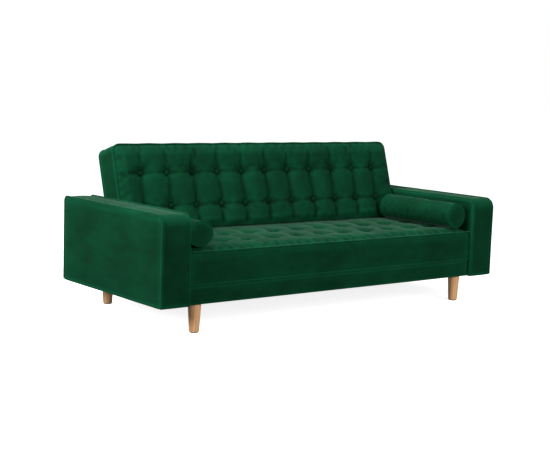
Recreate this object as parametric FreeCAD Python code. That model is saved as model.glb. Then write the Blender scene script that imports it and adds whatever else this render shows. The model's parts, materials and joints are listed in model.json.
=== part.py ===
import FreeCAD, Part

import math
import os

# Futon sofa bed: square track arms, a tufted box seat, and a tufted back that
# reclines on click-clack hinges until it lies level with the seat.
# Millimetres. The origin is on the floor at the centre of the width and depth;
# +X runs along the width, -Y is the front and +Z is up.

# overall
OVERALL_WIDTH = 2100.0
ARM_DEPTH = 880.0
ARM_HEIGHT = 540.0
ARM_WIDTH = 150.0
ARM_UNDERSIDE = 132.0

# legs and base
LEG_HEIGHT = 129.0
LEG_TOP_RADIUS = 31.0
LEG_FOOT_RADIUS = 23.0
LEG_INSET_X = 215.0
LEG_INSET_Y = 55.0
GLIDE_THICKNESS = 4.0
GLIDE_RADIUS = 19.0
LEG_PLATE_SIDE = 64.0
LEG_PLATE_THICKNESS = 3.0
LEG_BOLT_RADIUS = 4.0
LEG_BOLT_DEPTH_IN_LEG = 35.0
LEG_BOLT_DEPTH_IN_RAIL = 50.0
BASE_HEIGHT = 78.0
BASE_RAIL_WIDTH = 58.0
BASE_SIDE_RAIL_WIDTH = 40.0
BASE_JOIST_WIDTH = 40.0
CORNER_BLOCK_LEG = 90.0
BASE_FRONT_INSET = 20.0
BASE_COVER_THICKNESS = 6.0
DUST_COVER_THICKNESS = 1.2
DUST_COVER_MARGIN = 8.0
PLATE_CLEARANCE = 2.0

# arms
ARM_COVER_WALL = 14.0
ARM_FRONT_ROUNDING = 45.0
ARM_REAR_ROUNDING = 20.0
ARM_POST_DEPTH = 40.0
ARM_BOTTOM_BOARD = 30.0
ARM_TOP_BOARD = 24.0
ARM_FRAME_CLEARANCE = 2.0
ARM_BOLT_RADIUS = 4.0
ARM_BOLT_HEAD_RADIUS = 9.0
ARM_BOLT_HEAD = 6.0
ARM_BOLT_GRIP_IN_ARM = 46.0
ARM_BOLT_FROM_BLOCK = 16.0

# seat
SEAT_SIDE_GAP = 5.0
SEAT_BASE_GAP = 2.0
SEAT_EDGE_HEIGHT = 150.0
SEAT_CROWN = 22.0
SEAT_CROWN_RUN = 60.0
SEAT_WALL = 15.0
SEAT_RAIL_WIDTH = 40.0
SEAT_RAIL_HEIGHT = 42.0
SEAT_PAD_THICKNESS = 4.0
SEAT_PAD_SIDE = 60.0
SEAT_REAR_CUT = 34.0
SEAT_POCKET_CLEARANCE = 2.0

# back
BACK_SIDE_GAP = 6.0
BACK_LENGTH = 428.0
BACK_EDGE_THICKNESS = 134.0
BACK_LEAN = 17.0
BACK_CROWN = 20.0
BACK_CROWN_RUN = 60.0
BACK_CORNER_RADIUS = 45.0
BACK_END_WALL = 12.0
BACK_RAIL_WIDTH = 45.0
BACK_RAIL_DEPTH = 42.0
BACK_PANEL_THICKNESS = 3.0
BACK_PANEL_MARGIN = 4.0
BACK_POCKET_CLEARANCE = 2.0
WEBBING_WIDTH = 60.0
WEBBING_THICKNESS = 2.5

# tufting
TUFT_COLUMNS = 11
TUFT_END_MARGIN = 134.0
BUTTON_RADIUS = 11.0
BUTTON_THICKNESS = 7.0
DIMPLE_DEPTH = 14.0
DIMPLE_RADIUS = 22.0
DIMPLE_CLEARANCE = 1.0
SEAT_FIRST_ROW = 170.0
SEAT_ROW_PITCH = 185.0
BACK_FIRST_ROW = 148.0
BACK_ROW_PITCH = 166.0
TUFT_ROWS = 2

# hinges
PIVOT_BELOW_CROWN = 40.0
PIVOT_FROM_REAR = 287.0
BACK_END_FROM_PIVOT = 42.0
NOSE_CLEARANCE = 4.0
PIN_RADIUS = 6.0
PIN_CLEARANCE = 0.05
PIN_HEAD_RADIUS = 11.0
PIN_HEAD = 4.0
PLATE_THICKNESS = 5.0
PLATE_GAP = 1.0
PLATE_HALF_WIDTH = 13.0
HUB_RADIUS = 22.0
DRUM_RADIUS = 24.0
DRUM_THICKNESS = 18.0
PIN_NUT_RADIUS = 10.0
PIN_NUT = 7.0
NOTCH_CLEARANCE = 4.0
NOTCH_AHEAD = 60.0
BRACKET_AHEAD = 40.0
BRACKET_BEHIND = 36.0
BRACKET_FOOT_WIDTH = 34.0
SCREW_RADIUS = 3.0
SCREW_HEAD_RADIUS = 6.0
SCREW_HEAD = 3.0
SCREW_LENGTH = 28.0
BACK_BUMPER_SIDE = 50.0
BACK_BUMPER_CLEARANCE = 0.3

# springs
SPRING_WIRE_RADIUS = 2.0
SPRING_HALF_WIDTH = 26.0
WIRE_SIDES = 6
SPRING_PITCH = 44.0

# bolsters
BOLSTER_RADIUS = 68.0
BOLSTER_PIVOT_GAP = 36.0
BOLSTER_FRONT_INSET = 31.0
BOLSTER_ARM_GAPS = {"left": 8.0, "right": 22.0}
BOLSTER_EDGE = 8.0
BOLSTER_SEAT_GAP = 0.4

# worked out from the sizes above
ARM_INNER = OVERALL_WIDTH / 2 - ARM_WIDTH
FRONT = -ARM_DEPTH / 2
REAR = ARM_DEPTH / 2
BASE_BOTTOM = GLIDE_THICKNESS + LEG_HEIGHT + LEG_PLATE_THICKNESS
BASE_TOP = BASE_BOTTOM + BASE_HEIGHT
SEAT_FRONT = FRONT + BASE_FRONT_INSET
SEAT_HALF = ARM_INNER - SEAT_SIDE_GAP
SEAT_BOTTOM = BASE_TOP + SEAT_BASE_GAP
SEAT_EDGE = SEAT_BOTTOM + SEAT_EDGE_HEIGHT
SEAT_TOP = SEAT_EDGE + SEAT_CROWN
PIVOT_Y = REAR - PIVOT_FROM_REAR
PIVOT_Z = SEAT_TOP - PIVOT_BELOW_CROWN
BACK_HALF = ARM_INNER - BACK_SIDE_GAP
TUFT_PITCH = 2 * (BACK_HALF - TUFT_END_MARGIN) / (TUFT_COLUMNS - 1)
SPRINGS = TUFT_COLUMNS - 1
BACK_CROWN_LEVEL = PIVOT_BELOW_CROWN
BACK_EDGE_LEVEL = BACK_CROWN_LEVEL - BACK_CROWN
BACK_REAR_LEVEL = BACK_EDGE_LEVEL - BACK_EDGE_THICKNESS
BACK_UPRIGHT_ANGLE = 90.0 - BACK_LEAN
PANEL_LEVEL = BACK_REAR_LEVEL + BACK_PANEL_THICKNESS
BACK_FRAME_LEVEL = PANEL_LEVEL + BACK_RAIL_DEPTH
BRACKET_X = ARM_INNER - SEAT_SIDE_GAP - PIN_HEAD - PLATE_THICKNESS
BACK_PLATE_X = BRACKET_X - PLATE_GAP - PLATE_THICKNESS
SEAT_PLATE_X = BACK_PLATE_X - PLATE_GAP - PLATE_THICKNESS
DRUM_X = SEAT_PLATE_X - DRUM_THICKNESS
PIN_NUT_X = DRUM_X - PLATE_GAP / 2 - PIN_NUT
NOTCH_X = min(PIN_NUT_X, BRACKET_X + PLATE_THICKNESS - BRACKET_FOOT_WIDTH) - NOTCH_CLEARANCE
NOSE_RADIUS = BACK_END_FROM_PIVOT - NOSE_CLEARANCE
SEAT_FRAME_BOTTOM = BASE_TOP + SEAT_PAD_THICKNESS
SEAT_FRAME_TOP = SEAT_FRAME_BOTTOM + SEAT_RAIL_HEIGHT
SEAT_FRAME_FRONT = SEAT_FRONT + SEAT_WALL + SEAT_POCKET_CLEARANCE
SEAT_FRAME_REAR = PIVOT_Y - NOTCH_AHEAD + SEAT_POCKET_CLEARANCE
LEG_X = OVERALL_WIDTH / 2 - LEG_INSET_X
LEG_Y = -FRONT - LEG_INSET_Y
BASE_RAIL_FRONT = SEAT_FRONT + BASE_COVER_THICKNESS
CROSS_RAIL_X = 2 * TUFT_PITCH
ARM_BOLT_SPACING = -BASE_RAIL_FRONT - BASE_RAIL_WIDTH - CORNER_BLOCK_LEG - ARM_BOLT_FROM_BLOCK
BOLSTER_FRONT = FRONT + BOLSTER_FRONT_INSET
BOLSTER_LENGTH = PIVOT_Y - BOLSTER_PIVOT_GAP - BOLSTER_FRONT
SEAT_PLATE_Z = SEAT_FRAME_BOTTOM + SEAT_RAIL_HEIGHT / 2
BACK_PLATE_LEVEL = (PANEL_LEVEL + BACK_FRAME_LEVEL) / 2
SIDES = {"left": -1, "right": 1}

os.makedirs("parts", exist_ok=True)


def vec(x, y, z):
    return FreeCAD.Vector(x, y, z)


def box(x0, x1, y0, y1, z0, z1):
    return Part.makeBox(x1 - x0, y1 - y0, z1 - z0, vec(x0, y0, z0))


def side_box(side, x0, x1, y0, y1, z0, z1):
    """A box on the right, or its mirror image on the left."""
    if side > 0:
        return box(x0, x1, y0, y1, z0, z1)
    return box(-x1, -x0, y0, y1, z0, z1)


def rod(x0, x1, y, z, radius):
    """A cylinder along X."""
    return Part.makeCylinder(radius, x1 - x0, vec(x0, y, z), vec(1, 0, 0))


def side_rod(side, x0, x1, y, z, radius):
    if side > 0:
        return rod(x0, x1, y, z, radius)
    return rod(-x1, -x0, y, z, radius)


def upright_rod(x, y, z0, z1, radius):
    return Part.makeCylinder(radius, z1 - z0, vec(x, y, z0), vec(0, 0, 1))


def extrude(edges, direction):
    return Part.Face(Part.Wire(edges)).extrude(direction)


def polygon_yz(points, x0, x1):
    """A closed outline of (y, z) points, extruded from x0 to x1."""
    corners = [vec(x0, y, z) for y, z in points]
    return Part.Face(Part.makePolygon(corners + corners[:1])).extrude(vec(x1 - x0, 0, 0))


def bar_yz(side, x0, x1, start, end, half_width):
    """A flat bar in the YZ plane with round ends at two (y, z) points."""
    dy = end[0] - start[0]
    dz = end[1] - start[1]
    length = math.hypot(dy, dz)
    ny = -dz / length * half_width
    nz = dy / length * half_width
    corners = [
        (start[0] + ny, start[1] + nz),
        (end[0] + ny, end[1] + nz),
        (end[0] - ny, end[1] - nz),
        (start[0] - ny, start[1] - nz),
    ]
    low, high = (x0, x1) if side > 0 else (-x1, -x0)
    bar = polygon_yz(corners, low, high)
    return bar.fuse([rod(low, high, *start, half_width), rod(low, high, *end, half_width)])


def rounded_outline(x0, x1, y0, y1, z, radius):
    """A rectangle at height z whose two corners at y1 are rounded."""
    turn = radius * (1 - math.sqrt(0.5))
    return Part.Wire([
        Part.makeLine(vec(x0, y0, z), vec(x1, y0, z)),
        Part.makeLine(vec(x1, y0, z), vec(x1, y1 - radius, z)),
        Part.Arc(vec(x1, y1 - radius, z), vec(x1 - turn, y1 - turn, z), vec(x1 - radius, y1, z)).toShape(),
        Part.makeLine(vec(x1 - radius, y1, z), vec(x0 + radius, y1, z)),
        Part.Arc(vec(x0 + radius, y1, z), vec(x0 + turn, y1 - turn, z), vec(x0, y1 - radius, z)).toShape(),
        Part.makeLine(vec(x0, y1 - radius, z), vec(x0, y0, z)),
    ])


def stand_up(shape):
    """Turns a back part from where it lies flat to where it stands at rest."""
    placed = shape.copy()
    placed.translate(vec(0, PIVOT_Y, PIVOT_Z))
    placed.rotate(vec(0, PIVOT_Y, PIVOT_Z), vec(1, 0, 0), BACK_UPRIGHT_ANGLE)
    return placed


def save(name, *shapes):
    solids = [solid for shape in shapes for solid in shape.removeSplitter().Solids]
    result = solids[0] if len(solids) == 1 else Part.makeCompound(solids)
    result.exportStep(f"parts/{name}.step")


def tuft_columns():
    first = -(TUFT_COLUMNS - 1) / 2
    return [(first + n) * TUFT_PITCH for n in range(TUFT_COLUMNS)]


# ---------------------------------------------------------------- legs and base


def leg_places():
    return {
        "front_left": (-LEG_X, -LEG_Y),
        "front_right": (LEG_X, -LEG_Y),
        "rear_left": (-LEG_X, LEG_Y),
        "rear_right": (LEG_X, LEG_Y),
    }


def leg_bolt(x, y, radius):
    low = GLIDE_THICKNESS + LEG_HEIGHT - LEG_BOLT_DEPTH_IN_LEG
    high = BASE_BOTTOM + LEG_BOLT_DEPTH_IN_RAIL
    return upright_rod(x, y, low, high, radius)


def leg_bolts():
    return [leg_bolt(x, y, LEG_BOLT_RADIUS) for x, y in leg_places().values()]


def make_legs():
    for name, (x, y) in leg_places().items():
        leg = Part.makeCone(
            LEG_FOOT_RADIUS, LEG_TOP_RADIUS, LEG_HEIGHT, vec(x, y, GLIDE_THICKNESS)
        )
        save(f"{name}_leg", leg.cut(leg_bolt(x, y, LEG_BOLT_RADIUS)))
    save("leg_bolts", *leg_bolts())
    save("leg_glides", *[
        upright_rod(x, y, 0, GLIDE_THICKNESS, GLIDE_RADIUS) for x, y in leg_places().values()
    ])
    plates = [leg_plate(x, y, 0).cut(leg_bolt(x, y, LEG_BOLT_RADIUS)) for x, y in leg_places().values()]
    save("leg_plates", *plates)


def leg_plate(x, y, margin):
    half = LEG_PLATE_SIDE / 2 + margin
    return box(x - half, x + half, y - half, y + half, BASE_BOTTOM - LEG_PLATE_THICKNESS, BASE_BOTTOM)


def arm_bolt_places():
    return [-ARM_BOLT_SPACING, 0.0, ARM_BOLT_SPACING]


def arm_bolt_z():
    return ARM_UNDERSIDE + ARM_FRAME_CLEARANCE + ARM_BOTTOM_BOARD / 2 + 2 * ARM_FRAME_CLEARANCE


def arm_bolt(side, y):
    inner = ARM_INNER - BASE_SIDE_RAIL_WIDTH
    shank = side_rod(side, inner, ARM_INNER + ARM_BOLT_GRIP_IN_ARM, y, arm_bolt_z(), ARM_BOLT_RADIUS)
    head = side_rod(side, inner - ARM_BOLT_HEAD, inner, y, arm_bolt_z(), ARM_BOLT_HEAD_RADIUS)
    return shank.fuse(head)


def arm_bolts(side):
    return [arm_bolt(side, y) for y in arm_bolt_places()]


def bracket_screw_places():
    return [PIVOT_Y - BRACKET_AHEAD / 2, PIVOT_Y + BRACKET_BEHIND / 2]


def bracket_screw(side, y):
    x = BRACKET_X + PLATE_THICKNESS - BRACKET_FOOT_WIDTH + 2 * SCREW_HEAD_RADIUS
    low = BASE_TOP + PLATE_THICKNESS - SCREW_LENGTH
    shank = upright_rod(side * x, y, low, BASE_TOP + PLATE_THICKNESS, SCREW_RADIUS)
    head = upright_rod(
        side * x, y, BASE_TOP + PLATE_THICKNESS, BASE_TOP + PLATE_THICKNESS + SCREW_HEAD, SCREW_HEAD_RADIUS
    )
    return shank.fuse(head)


def bracket_screws(side):
    return [bracket_screw(side, y) for y in bracket_screw_places()]


def make_base():
    inner = ARM_INNER - BASE_SIDE_RAIL_WIDTH
    rear_face = -BASE_RAIL_FRONT
    front_rail = box(
        -inner, inner, BASE_RAIL_FRONT, BASE_RAIL_FRONT + BASE_RAIL_WIDTH, BASE_BOTTOM, BASE_TOP
    )
    rear_rail = box(-inner, inner, rear_face - BASE_RAIL_WIDTH, rear_face, BASE_BOTTOM, BASE_TOP)
    save("base_front_rail", front_rail.cut(leg_bolts()))
    save("base_rear_rail", rear_rail.cut(leg_bolts()))
    for name, side in SIDES.items():
        rail = side_box(side, inner, ARM_INNER, BASE_RAIL_FRONT, rear_face, BASE_BOTTOM, BASE_TOP)
        save(f"base_{name}_rail", rail.cut(arm_bolts(side) + bracket_screws(side)))
    joist_front = BASE_RAIL_FRONT + BASE_RAIL_WIDTH
    save("base_joists", *[
        box(
            x - BASE_JOIST_WIDTH / 2, x + BASE_JOIST_WIDTH / 2,
            joist_front, -joist_front, BASE_BOTTOM, BASE_TOP,
        )
        for x in (-CROSS_RAIL_X, CROSS_RAIL_X)
    ])
    blocks = []
    for sx in (-1, 1):
        for sy in (-1, 1):
            corner = (sx * inner, -sy * joist_front)
            points = [
                vec(corner[0], corner[1], BASE_BOTTOM),
                vec(corner[0] - sx * CORNER_BLOCK_LEG, corner[1], BASE_BOTTOM),
                vec(corner[0], corner[1] - sy * CORNER_BLOCK_LEG, BASE_BOTTOM),
            ]
            outline = Part.makePolygon(points + points[:1])
            blocks.append(Part.Face(outline).extrude(vec(0, 0, BASE_HEIGHT)))
    save("base_corner_blocks", *blocks)
    save("base_front_cover", box(-SEAT_HALF, SEAT_HALF, SEAT_FRONT, BASE_RAIL_FRONT, BASE_BOTTOM, BASE_TOP))
    save("base_rear_cover", box(-SEAT_HALF, SEAT_HALF, rear_face, -SEAT_FRONT, BASE_BOTTOM, BASE_TOP))
    dust = box(
        -ARM_INNER + DUST_COVER_MARGIN, ARM_INNER - DUST_COVER_MARGIN,
        BASE_RAIL_FRONT + DUST_COVER_MARGIN, rear_face - DUST_COVER_MARGIN,
        BASE_BOTTOM - DUST_COVER_THICKNESS, BASE_BOTTOM,
    )
    save("dust_cover", dust.cut([leg_plate(x, y, PLATE_CLEARANCE) for x, y in leg_places().values()]))


def make_rests():
    """Pads under the seat frame, and bumpers that the back lies on when flat."""
    half = SEAT_PAD_SIDE / 2
    centre_y = (SEAT_FRAME_FRONT + SEAT_FRAME_FRONT + SEAT_RAIL_WIDTH) / 2
    save("seat_pads", *[
        box(x - half, x + half, centre_y - SEAT_RAIL_WIDTH / 2, centre_y + SEAT_RAIL_WIDTH / 2,
            BASE_TOP, BASE_TOP + SEAT_PAD_THICKNESS)
        for x in (-SEAT_HALF + SEAT_PAD_SIDE * 2, -CROSS_RAIL_X, CROSS_RAIL_X, SEAT_HALF - SEAT_PAD_SIDE * 2)
    ])
    bumper_y = -BASE_RAIL_FRONT - BASE_RAIL_WIDTH / 2
    bumper_top = PIVOT_Z + BACK_REAR_LEVEL - BACK_BUMPER_CLEARANCE
    half = BACK_BUMPER_SIDE / 2
    save("back_bumpers", *[
        box(x - half, x + half, bumper_y - half, bumper_y + half, BASE_TOP, bumper_top)
        for x in (-2 * CROSS_RAIL_X, 0.0, 2 * CROSS_RAIL_X)
    ])


# ---------------------------------------------------------------- arms


def arm_profile(x, y0, y1, z0, z1, front_radius, rear_radius):
    """A side outline whose two top corners are rounded."""
    front_turn = front_radius * (1 - math.sqrt(0.5))
    rear_turn = rear_radius * (1 - math.sqrt(0.5))
    return [
        Part.makeLine(vec(x, y1, z0), vec(x, y0, z0)),
        Part.makeLine(vec(x, y0, z0), vec(x, y0, z1 - front_radius)),
        Part.Arc(
            vec(x, y0, z1 - front_radius), vec(x, y0 + front_turn, z1 - front_turn),
            vec(x, y0 + front_radius, z1),
        ).toShape(),
        Part.makeLine(vec(x, y0 + front_radius, z1), vec(x, y1 - rear_radius, z1)),
        Part.Arc(
            vec(x, y1 - rear_radius, z1), vec(x, y1 - rear_turn, z1 - rear_turn),
            vec(x, y1, z1 - rear_radius),
        ).toShape(),
        Part.makeLine(vec(x, y1, z1 - rear_radius), vec(x, y1, z0)),
    ]


def make_arm(name, side):
    wall = ARM_COVER_WALL
    outer_x = ARM_INNER if side > 0 else -ARM_INNER - ARM_WIDTH
    outer = extrude(
        arm_profile(outer_x, FRONT, REAR, ARM_UNDERSIDE, ARM_HEIGHT, ARM_FRONT_ROUNDING, ARM_REAR_ROUNDING),
        vec(ARM_WIDTH, 0, 0),
    )
    hollow = extrude(
        arm_profile(
            outer_x + wall, FRONT + wall, REAR - wall, ARM_UNDERSIDE - 1, ARM_HEIGHT - wall,
            ARM_FRONT_ROUNDING - wall, ARM_REAR_ROUNDING - wall,
        ),
        vec(ARM_WIDTH - 2 * wall, 0, 0),
    )
    save(f"{name}_arm_cover", outer.cut(hollow).cut(arm_bolts(side)))

    gap = ARM_FRAME_CLEARANCE
    x0 = ARM_INNER + wall + gap
    x1 = ARM_INNER + ARM_WIDTH - wall - gap
    y0 = FRONT + wall + 3 * gap
    y1 = REAR - wall - 3 * gap
    bottom = ARM_UNDERSIDE + gap
    board_top = bottom + ARM_BOTTOM_BOARD
    top = ARM_HEIGHT - wall - gap
    bottom_board = side_box(side, x0, x1, y0, y1, bottom, board_top)
    save(f"{name}_arm_bottom_board", bottom_board.cut(arm_bolts(side)))
    post_top = top - ARM_TOP_BOARD
    save(
        f"{name}_arm_posts",
        side_box(side, x0, x1, y0, y0 + ARM_POST_DEPTH, board_top, post_top),
        side_box(side, x0, x1, y1 - ARM_POST_DEPTH, y1, board_top, post_top),
    )
    setback = ARM_FRONT_ROUNDING - wall
    save(f"{name}_arm_top_board", side_box(side, x0, x1, y0 + setback, y1, post_top, top))


# ---------------------------------------------------------------- seat


def seat_notch(side):
    """The room that the hinge needs at one end of the seat."""
    x0 = NOTCH_X
    x1 = SEAT_HALF + 1
    ahead = side_box(
        side, x0, x1, PIVOT_Y - NOTCH_AHEAD, PIVOT_Y, SEAT_BOTTOM - 1, PIVOT_Z + DRUM_RADIUS + PLATE_GAP
    )
    behind = side_box(side, x0, x1, PIVOT_Y, PIVOT_Y + NOTCH_AHEAD, SEAT_BOTTOM - 1, SEAT_TOP + 1)
    return [ahead, behind]


def dimple(x, y, surface):
    """A cone that opens upwards at the surface, with a flat floor for the button."""
    floor = surface - DIMPLE_DEPTH
    return Part.makeCone(
        BUTTON_RADIUS + DIMPLE_CLEARANCE, DIMPLE_RADIUS, DIMPLE_DEPTH + 1, vec(x, y, floor)
    )


def button(x, y, surface):
    floor = surface - DIMPLE_DEPTH
    disc = upright_rod(x, y, floor, floor + BUTTON_THICKNESS, BUTTON_RADIUS)
    return disc.makeFillet(BUTTON_THICKNESS / 2.5, [disc.Edges[0]])


def seat_tufts():
    rows = [SEAT_FRONT + SEAT_FIRST_ROW + n * SEAT_ROW_PITCH for n in range(TUFT_ROWS)]
    return [(x, y) for y in rows for x in tuft_columns()]


def seat_profile():
    half_turn = math.radians(45)
    low_angle = math.radians(60)
    nose_low = (
        PIVOT_Y + NOSE_RADIUS * math.cos(low_angle),
        PIVOT_Z - NOSE_RADIUS * math.sin(low_angle),
    )
    nose_mid = (PIVOT_Y + NOSE_RADIUS, PIVOT_Z)
    nose_high = (PIVOT_Y, PIVOT_Z + NOSE_RADIUS)
    front_mid = (
        SEAT_FRONT + SEAT_CROWN_RUN * (1 - math.cos(half_turn)),
        SEAT_EDGE + SEAT_CROWN * math.sin(half_turn),
    )
    crown_start = (SEAT_FRONT + SEAT_CROWN_RUN, SEAT_TOP)
    crown_end = (PIVOT_Y - SEAT_CROWN_RUN, SEAT_TOP)
    rear_foot = (PIVOT_Y - SEAT_REAR_CUT, SEAT_BOTTOM)

    def at(point):
        return vec(-SEAT_HALF, point[0], point[1])

    return [
        Part.makeLine(at((SEAT_FRONT, SEAT_BOTTOM)), at((SEAT_FRONT, SEAT_EDGE))),
        Part.Arc(at((SEAT_FRONT, SEAT_EDGE)), at(front_mid), at(crown_start)).toShape(),
        Part.makeLine(at(crown_start), at(crown_end)),
        Part.makeLine(at(crown_end), at(nose_high)),
        Part.Arc(at(nose_high), at(nose_mid), at(nose_low)).toShape(),
        Part.makeLine(at(nose_low), at(rear_foot)),
        Part.makeLine(at(rear_foot), at((SEAT_FRONT, SEAT_BOTTOM))),
    ]


def seat_end_limit():
    """The front view of the seat, whose top slopes down to the piping at each end."""
    y0 = SEAT_FRONT - 1
    y1 = PIVOT_Y + 2 * NOSE_RADIUS
    outline = [
        (-SEAT_HALF, SEAT_BOTTOM - 1), (SEAT_HALF, SEAT_BOTTOM - 1), (SEAT_HALF, SEAT_EDGE),
        (SEAT_HALF - SEAT_CROWN_RUN, SEAT_TOP), (-SEAT_HALF + SEAT_CROWN_RUN, SEAT_TOP),
        (-SEAT_HALF, SEAT_EDGE),
    ]
    corners = [vec(x, y0, z) for x, z in outline]
    return Part.Face(Part.makePolygon(corners + corners[:1])).extrude(vec(0, y1 - y0, 0))


def make_seat_cushion():
    whole = extrude(seat_profile(), vec(2 * SEAT_HALF, 0, 0)).common(seat_end_limit())
    below = box(
        -SEAT_HALF - 1, SEAT_HALF + 1, SEAT_FRONT - 1, PIVOT_Y + NOSE_RADIUS + 1,
        SEAT_BOTTOM - 1, SEAT_FRAME_TOP,
    )
    cushion = whole.cut([below] + seat_notch(-1) + seat_notch(1))
    save("seat_cushion", cushion.cut([dimple(x, y, SEAT_TOP) for x, y in seat_tufts()]))
    save("seat_buttons", *[button(x, y, SEAT_TOP) for x, y in seat_tufts()])
    inner = SEAT_FRONT + SEAT_WALL
    save("seat_front_border", box(-SEAT_HALF, SEAT_HALF, SEAT_FRONT, inner, SEAT_BOTTOM, SEAT_FRAME_TOP))
    save("seat_side_borders", *[
        side_box(
            side, SEAT_HALF - SEAT_WALL, SEAT_HALF, inner, PIVOT_Y - NOTCH_AHEAD,
            SEAT_BOTTOM, SEAT_FRAME_TOP,
        )
        for side in SIDES.values()
    ])


def seat_arm_bolt_places():
    return [SEAT_FRAME_REAR - SEAT_RAIL_WIDTH / 2 - n * 4 * SEAT_RAIL_WIDTH for n in range(2)]


def arm_screw(side, plate_x, y, z):
    """A screw from the outer face of a hinge plate into the rail behind it."""
    outer = plate_x + PLATE_THICKNESS
    return side_rod(side, outer - SCREW_LENGTH, outer, y, z, SCREW_RADIUS)


def seat_arm_screws(side):
    return [arm_screw(side, SEAT_PLATE_X, y, SEAT_PLATE_Z) for y in seat_arm_bolt_places()]


def make_seat_frame():
    outer = SEAT_PLATE_X
    z0 = SEAT_FRAME_BOTTOM
    z1 = SEAT_FRAME_TOP
    front_inner = SEAT_FRAME_FRONT + SEAT_RAIL_WIDTH
    rear_inner = SEAT_FRAME_REAR - SEAT_RAIL_WIDTH
    side_inner = outer - SEAT_RAIL_WIDTH
    save("seat_front_rail", box(-side_inner, side_inner, SEAT_FRAME_FRONT, front_inner, z0, z1))
    save("seat_rear_rail", box(-side_inner, side_inner, rear_inner, SEAT_FRAME_REAR, z0, z1))
    for name, side in SIDES.items():
        rail = side_box(side, side_inner, outer, SEAT_FRAME_FRONT, SEAT_FRAME_REAR, z0, z1)
        save(f"seat_{name}_rail", rail.cut(seat_arm_screws(side)))
    save("seat_cross_rails", *[
        box(x - SEAT_RAIL_WIDTH / 2, x + SEAT_RAIL_WIDTH / 2, front_inner, rear_inner, z0, z1)
        for x in (-CROSS_RAIL_X, CROSS_RAIL_X)
    ])
    make_springs(front_inner, rear_inner, z1 - 2 * SPRING_WIRE_RADIUS)


def spring_path(y0, y1):
    """The line of a zigzag wire: straight runs across, joined by half circles."""
    turns = int((y1 - y0 - SPRING_PITCH) // (SPRING_PITCH / 2)) // 2 * 2
    step = SPRING_PITCH / 2
    lead = (y1 - y0 - (turns - 1) * step) / 2
    reach = SPRING_HALF_WIDTH - step / 2
    edges = [Part.makeLine(vec(0, y0, 0), vec(0, y0 + lead, 0))]
    edges.append(Part.makeLine(vec(0, y0 + lead, 0), vec(reach, y0 + lead, 0)))
    for n in range(turns - 1):
        sign = 1 if n % 2 == 0 else -1
        y = y0 + lead + n * step
        start = vec(sign * reach, y, 0)
        middle = vec(sign * (reach + step / 2), y + step / 2, 0)
        end = vec(sign * reach, y + step, 0)
        edges.append(Part.Arc(start, middle, end).toShape())
        last = n == turns - 2
        run_end = 0 if last else -sign * reach
        edges.append(Part.makeLine(end, vec(run_end, y + step, 0)))
    top = y0 + lead + (turns - 1) * step
    edges.append(Part.makeLine(vec(0, top, 0), vec(0, y1, 0)))
    return Part.Wire(edges)


def make_springs(y0, y1, z):
    path = spring_path(y0, y1)
    corners = []
    for n in range(WIRE_SIDES + 1):
        angle = 2 * math.pi * n / WIRE_SIDES
        corners.append(vec(SPRING_WIRE_RADIUS * math.cos(angle), y0, SPRING_WIRE_RADIUS * math.sin(angle)))
    ring = Part.makePolygon(corners)
    spring = path.makePipeShell([ring], True, False, 1)
    springs = []
    for n in range(SPRINGS):
        copy = spring.copy()
        copy.translate(vec((n - (SPRINGS - 1) / 2) * TUFT_PITCH, 0, z))
        springs.append(copy)
    save("seat_springs", *springs)


# ---------------------------------------------------------------- back


def back_tufts():
    top = BACK_END_FROM_PIVOT + BACK_LENGTH
    rows = [top - BACK_FIRST_ROW - n * BACK_ROW_PITCH for n in range(TUFT_ROWS)]
    return [(x, y) for y in rows for x in tuft_columns()]


def back_notch(side):
    x1 = BACK_HALF + 1
    y0 = BACK_END_FROM_PIVOT - 1
    y1 = BACK_END_FROM_PIVOT + NOTCH_AHEAD
    return side_box(side, NOTCH_X, x1, y0, y1, BACK_REAR_LEVEL - 1, 0)


def make_back_cushion():
    y0 = BACK_END_FROM_PIVOT
    y1 = y0 + BACK_LENGTH
    edge = rounded_outline(-BACK_HALF, BACK_HALF, y0, y1, PANEL_LEVEL, BACK_CORNER_RADIUS)
    slab = Part.Face(edge).extrude(vec(0, 0, BACK_EDGE_LEVEL - PANEL_LEVEL))
    run = BACK_CROWN_RUN
    crown = Part.makeLoft([
        rounded_outline(-BACK_HALF, BACK_HALF, y0, y1, BACK_EDGE_LEVEL, BACK_CORNER_RADIUS),
        rounded_outline(
            -BACK_HALF + run, BACK_HALF - run, y0 + run, y1 - run, BACK_CROWN_LEVEL, BACK_CORNER_RADIUS
        ),
    ], True, True)
    pocket_half = BACK_PLATE_X + PLATE_THICKNESS
    pocket = box(
        -pocket_half, pocket_half, y0 + BACK_END_WALL, y1 - BACK_END_WALL,
        PANEL_LEVEL - 1, BACK_FRAME_LEVEL + BACK_POCKET_CLEARANCE,
    )
    cushion = slab.fuse(crown).cut([pocket, back_notch(-1), back_notch(1)])
    cushion = cushion.cut([dimple(x, y, BACK_CROWN_LEVEL) for x, y in back_tufts()])
    save("back_cushion", stand_up(cushion))
    save("back_buttons", *[stand_up(button(x, y, BACK_CROWN_LEVEL)) for x, y in back_tufts()])
    panel_half = BACK_HALF - BACK_PANEL_MARGIN
    outline = rounded_outline(
        -panel_half, panel_half, y0 + BACK_PANEL_MARGIN, y1 - BACK_PANEL_MARGIN,
        BACK_REAR_LEVEL, BACK_CORNER_RADIUS,
    )
    save("back_rear_panel", stand_up(Part.Face(outline).extrude(vec(0, 0, BACK_PANEL_THICKNESS))))


def back_arm_screws(side):
    start = BACK_END_FROM_PIVOT + NOTCH_AHEAD
    return [
        arm_screw(side, BACK_PLATE_X, start + (n + 0.5) * 2 * BACK_RAIL_WIDTH, BACK_PLATE_LEVEL)
        for n in range(2)
    ]


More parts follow.
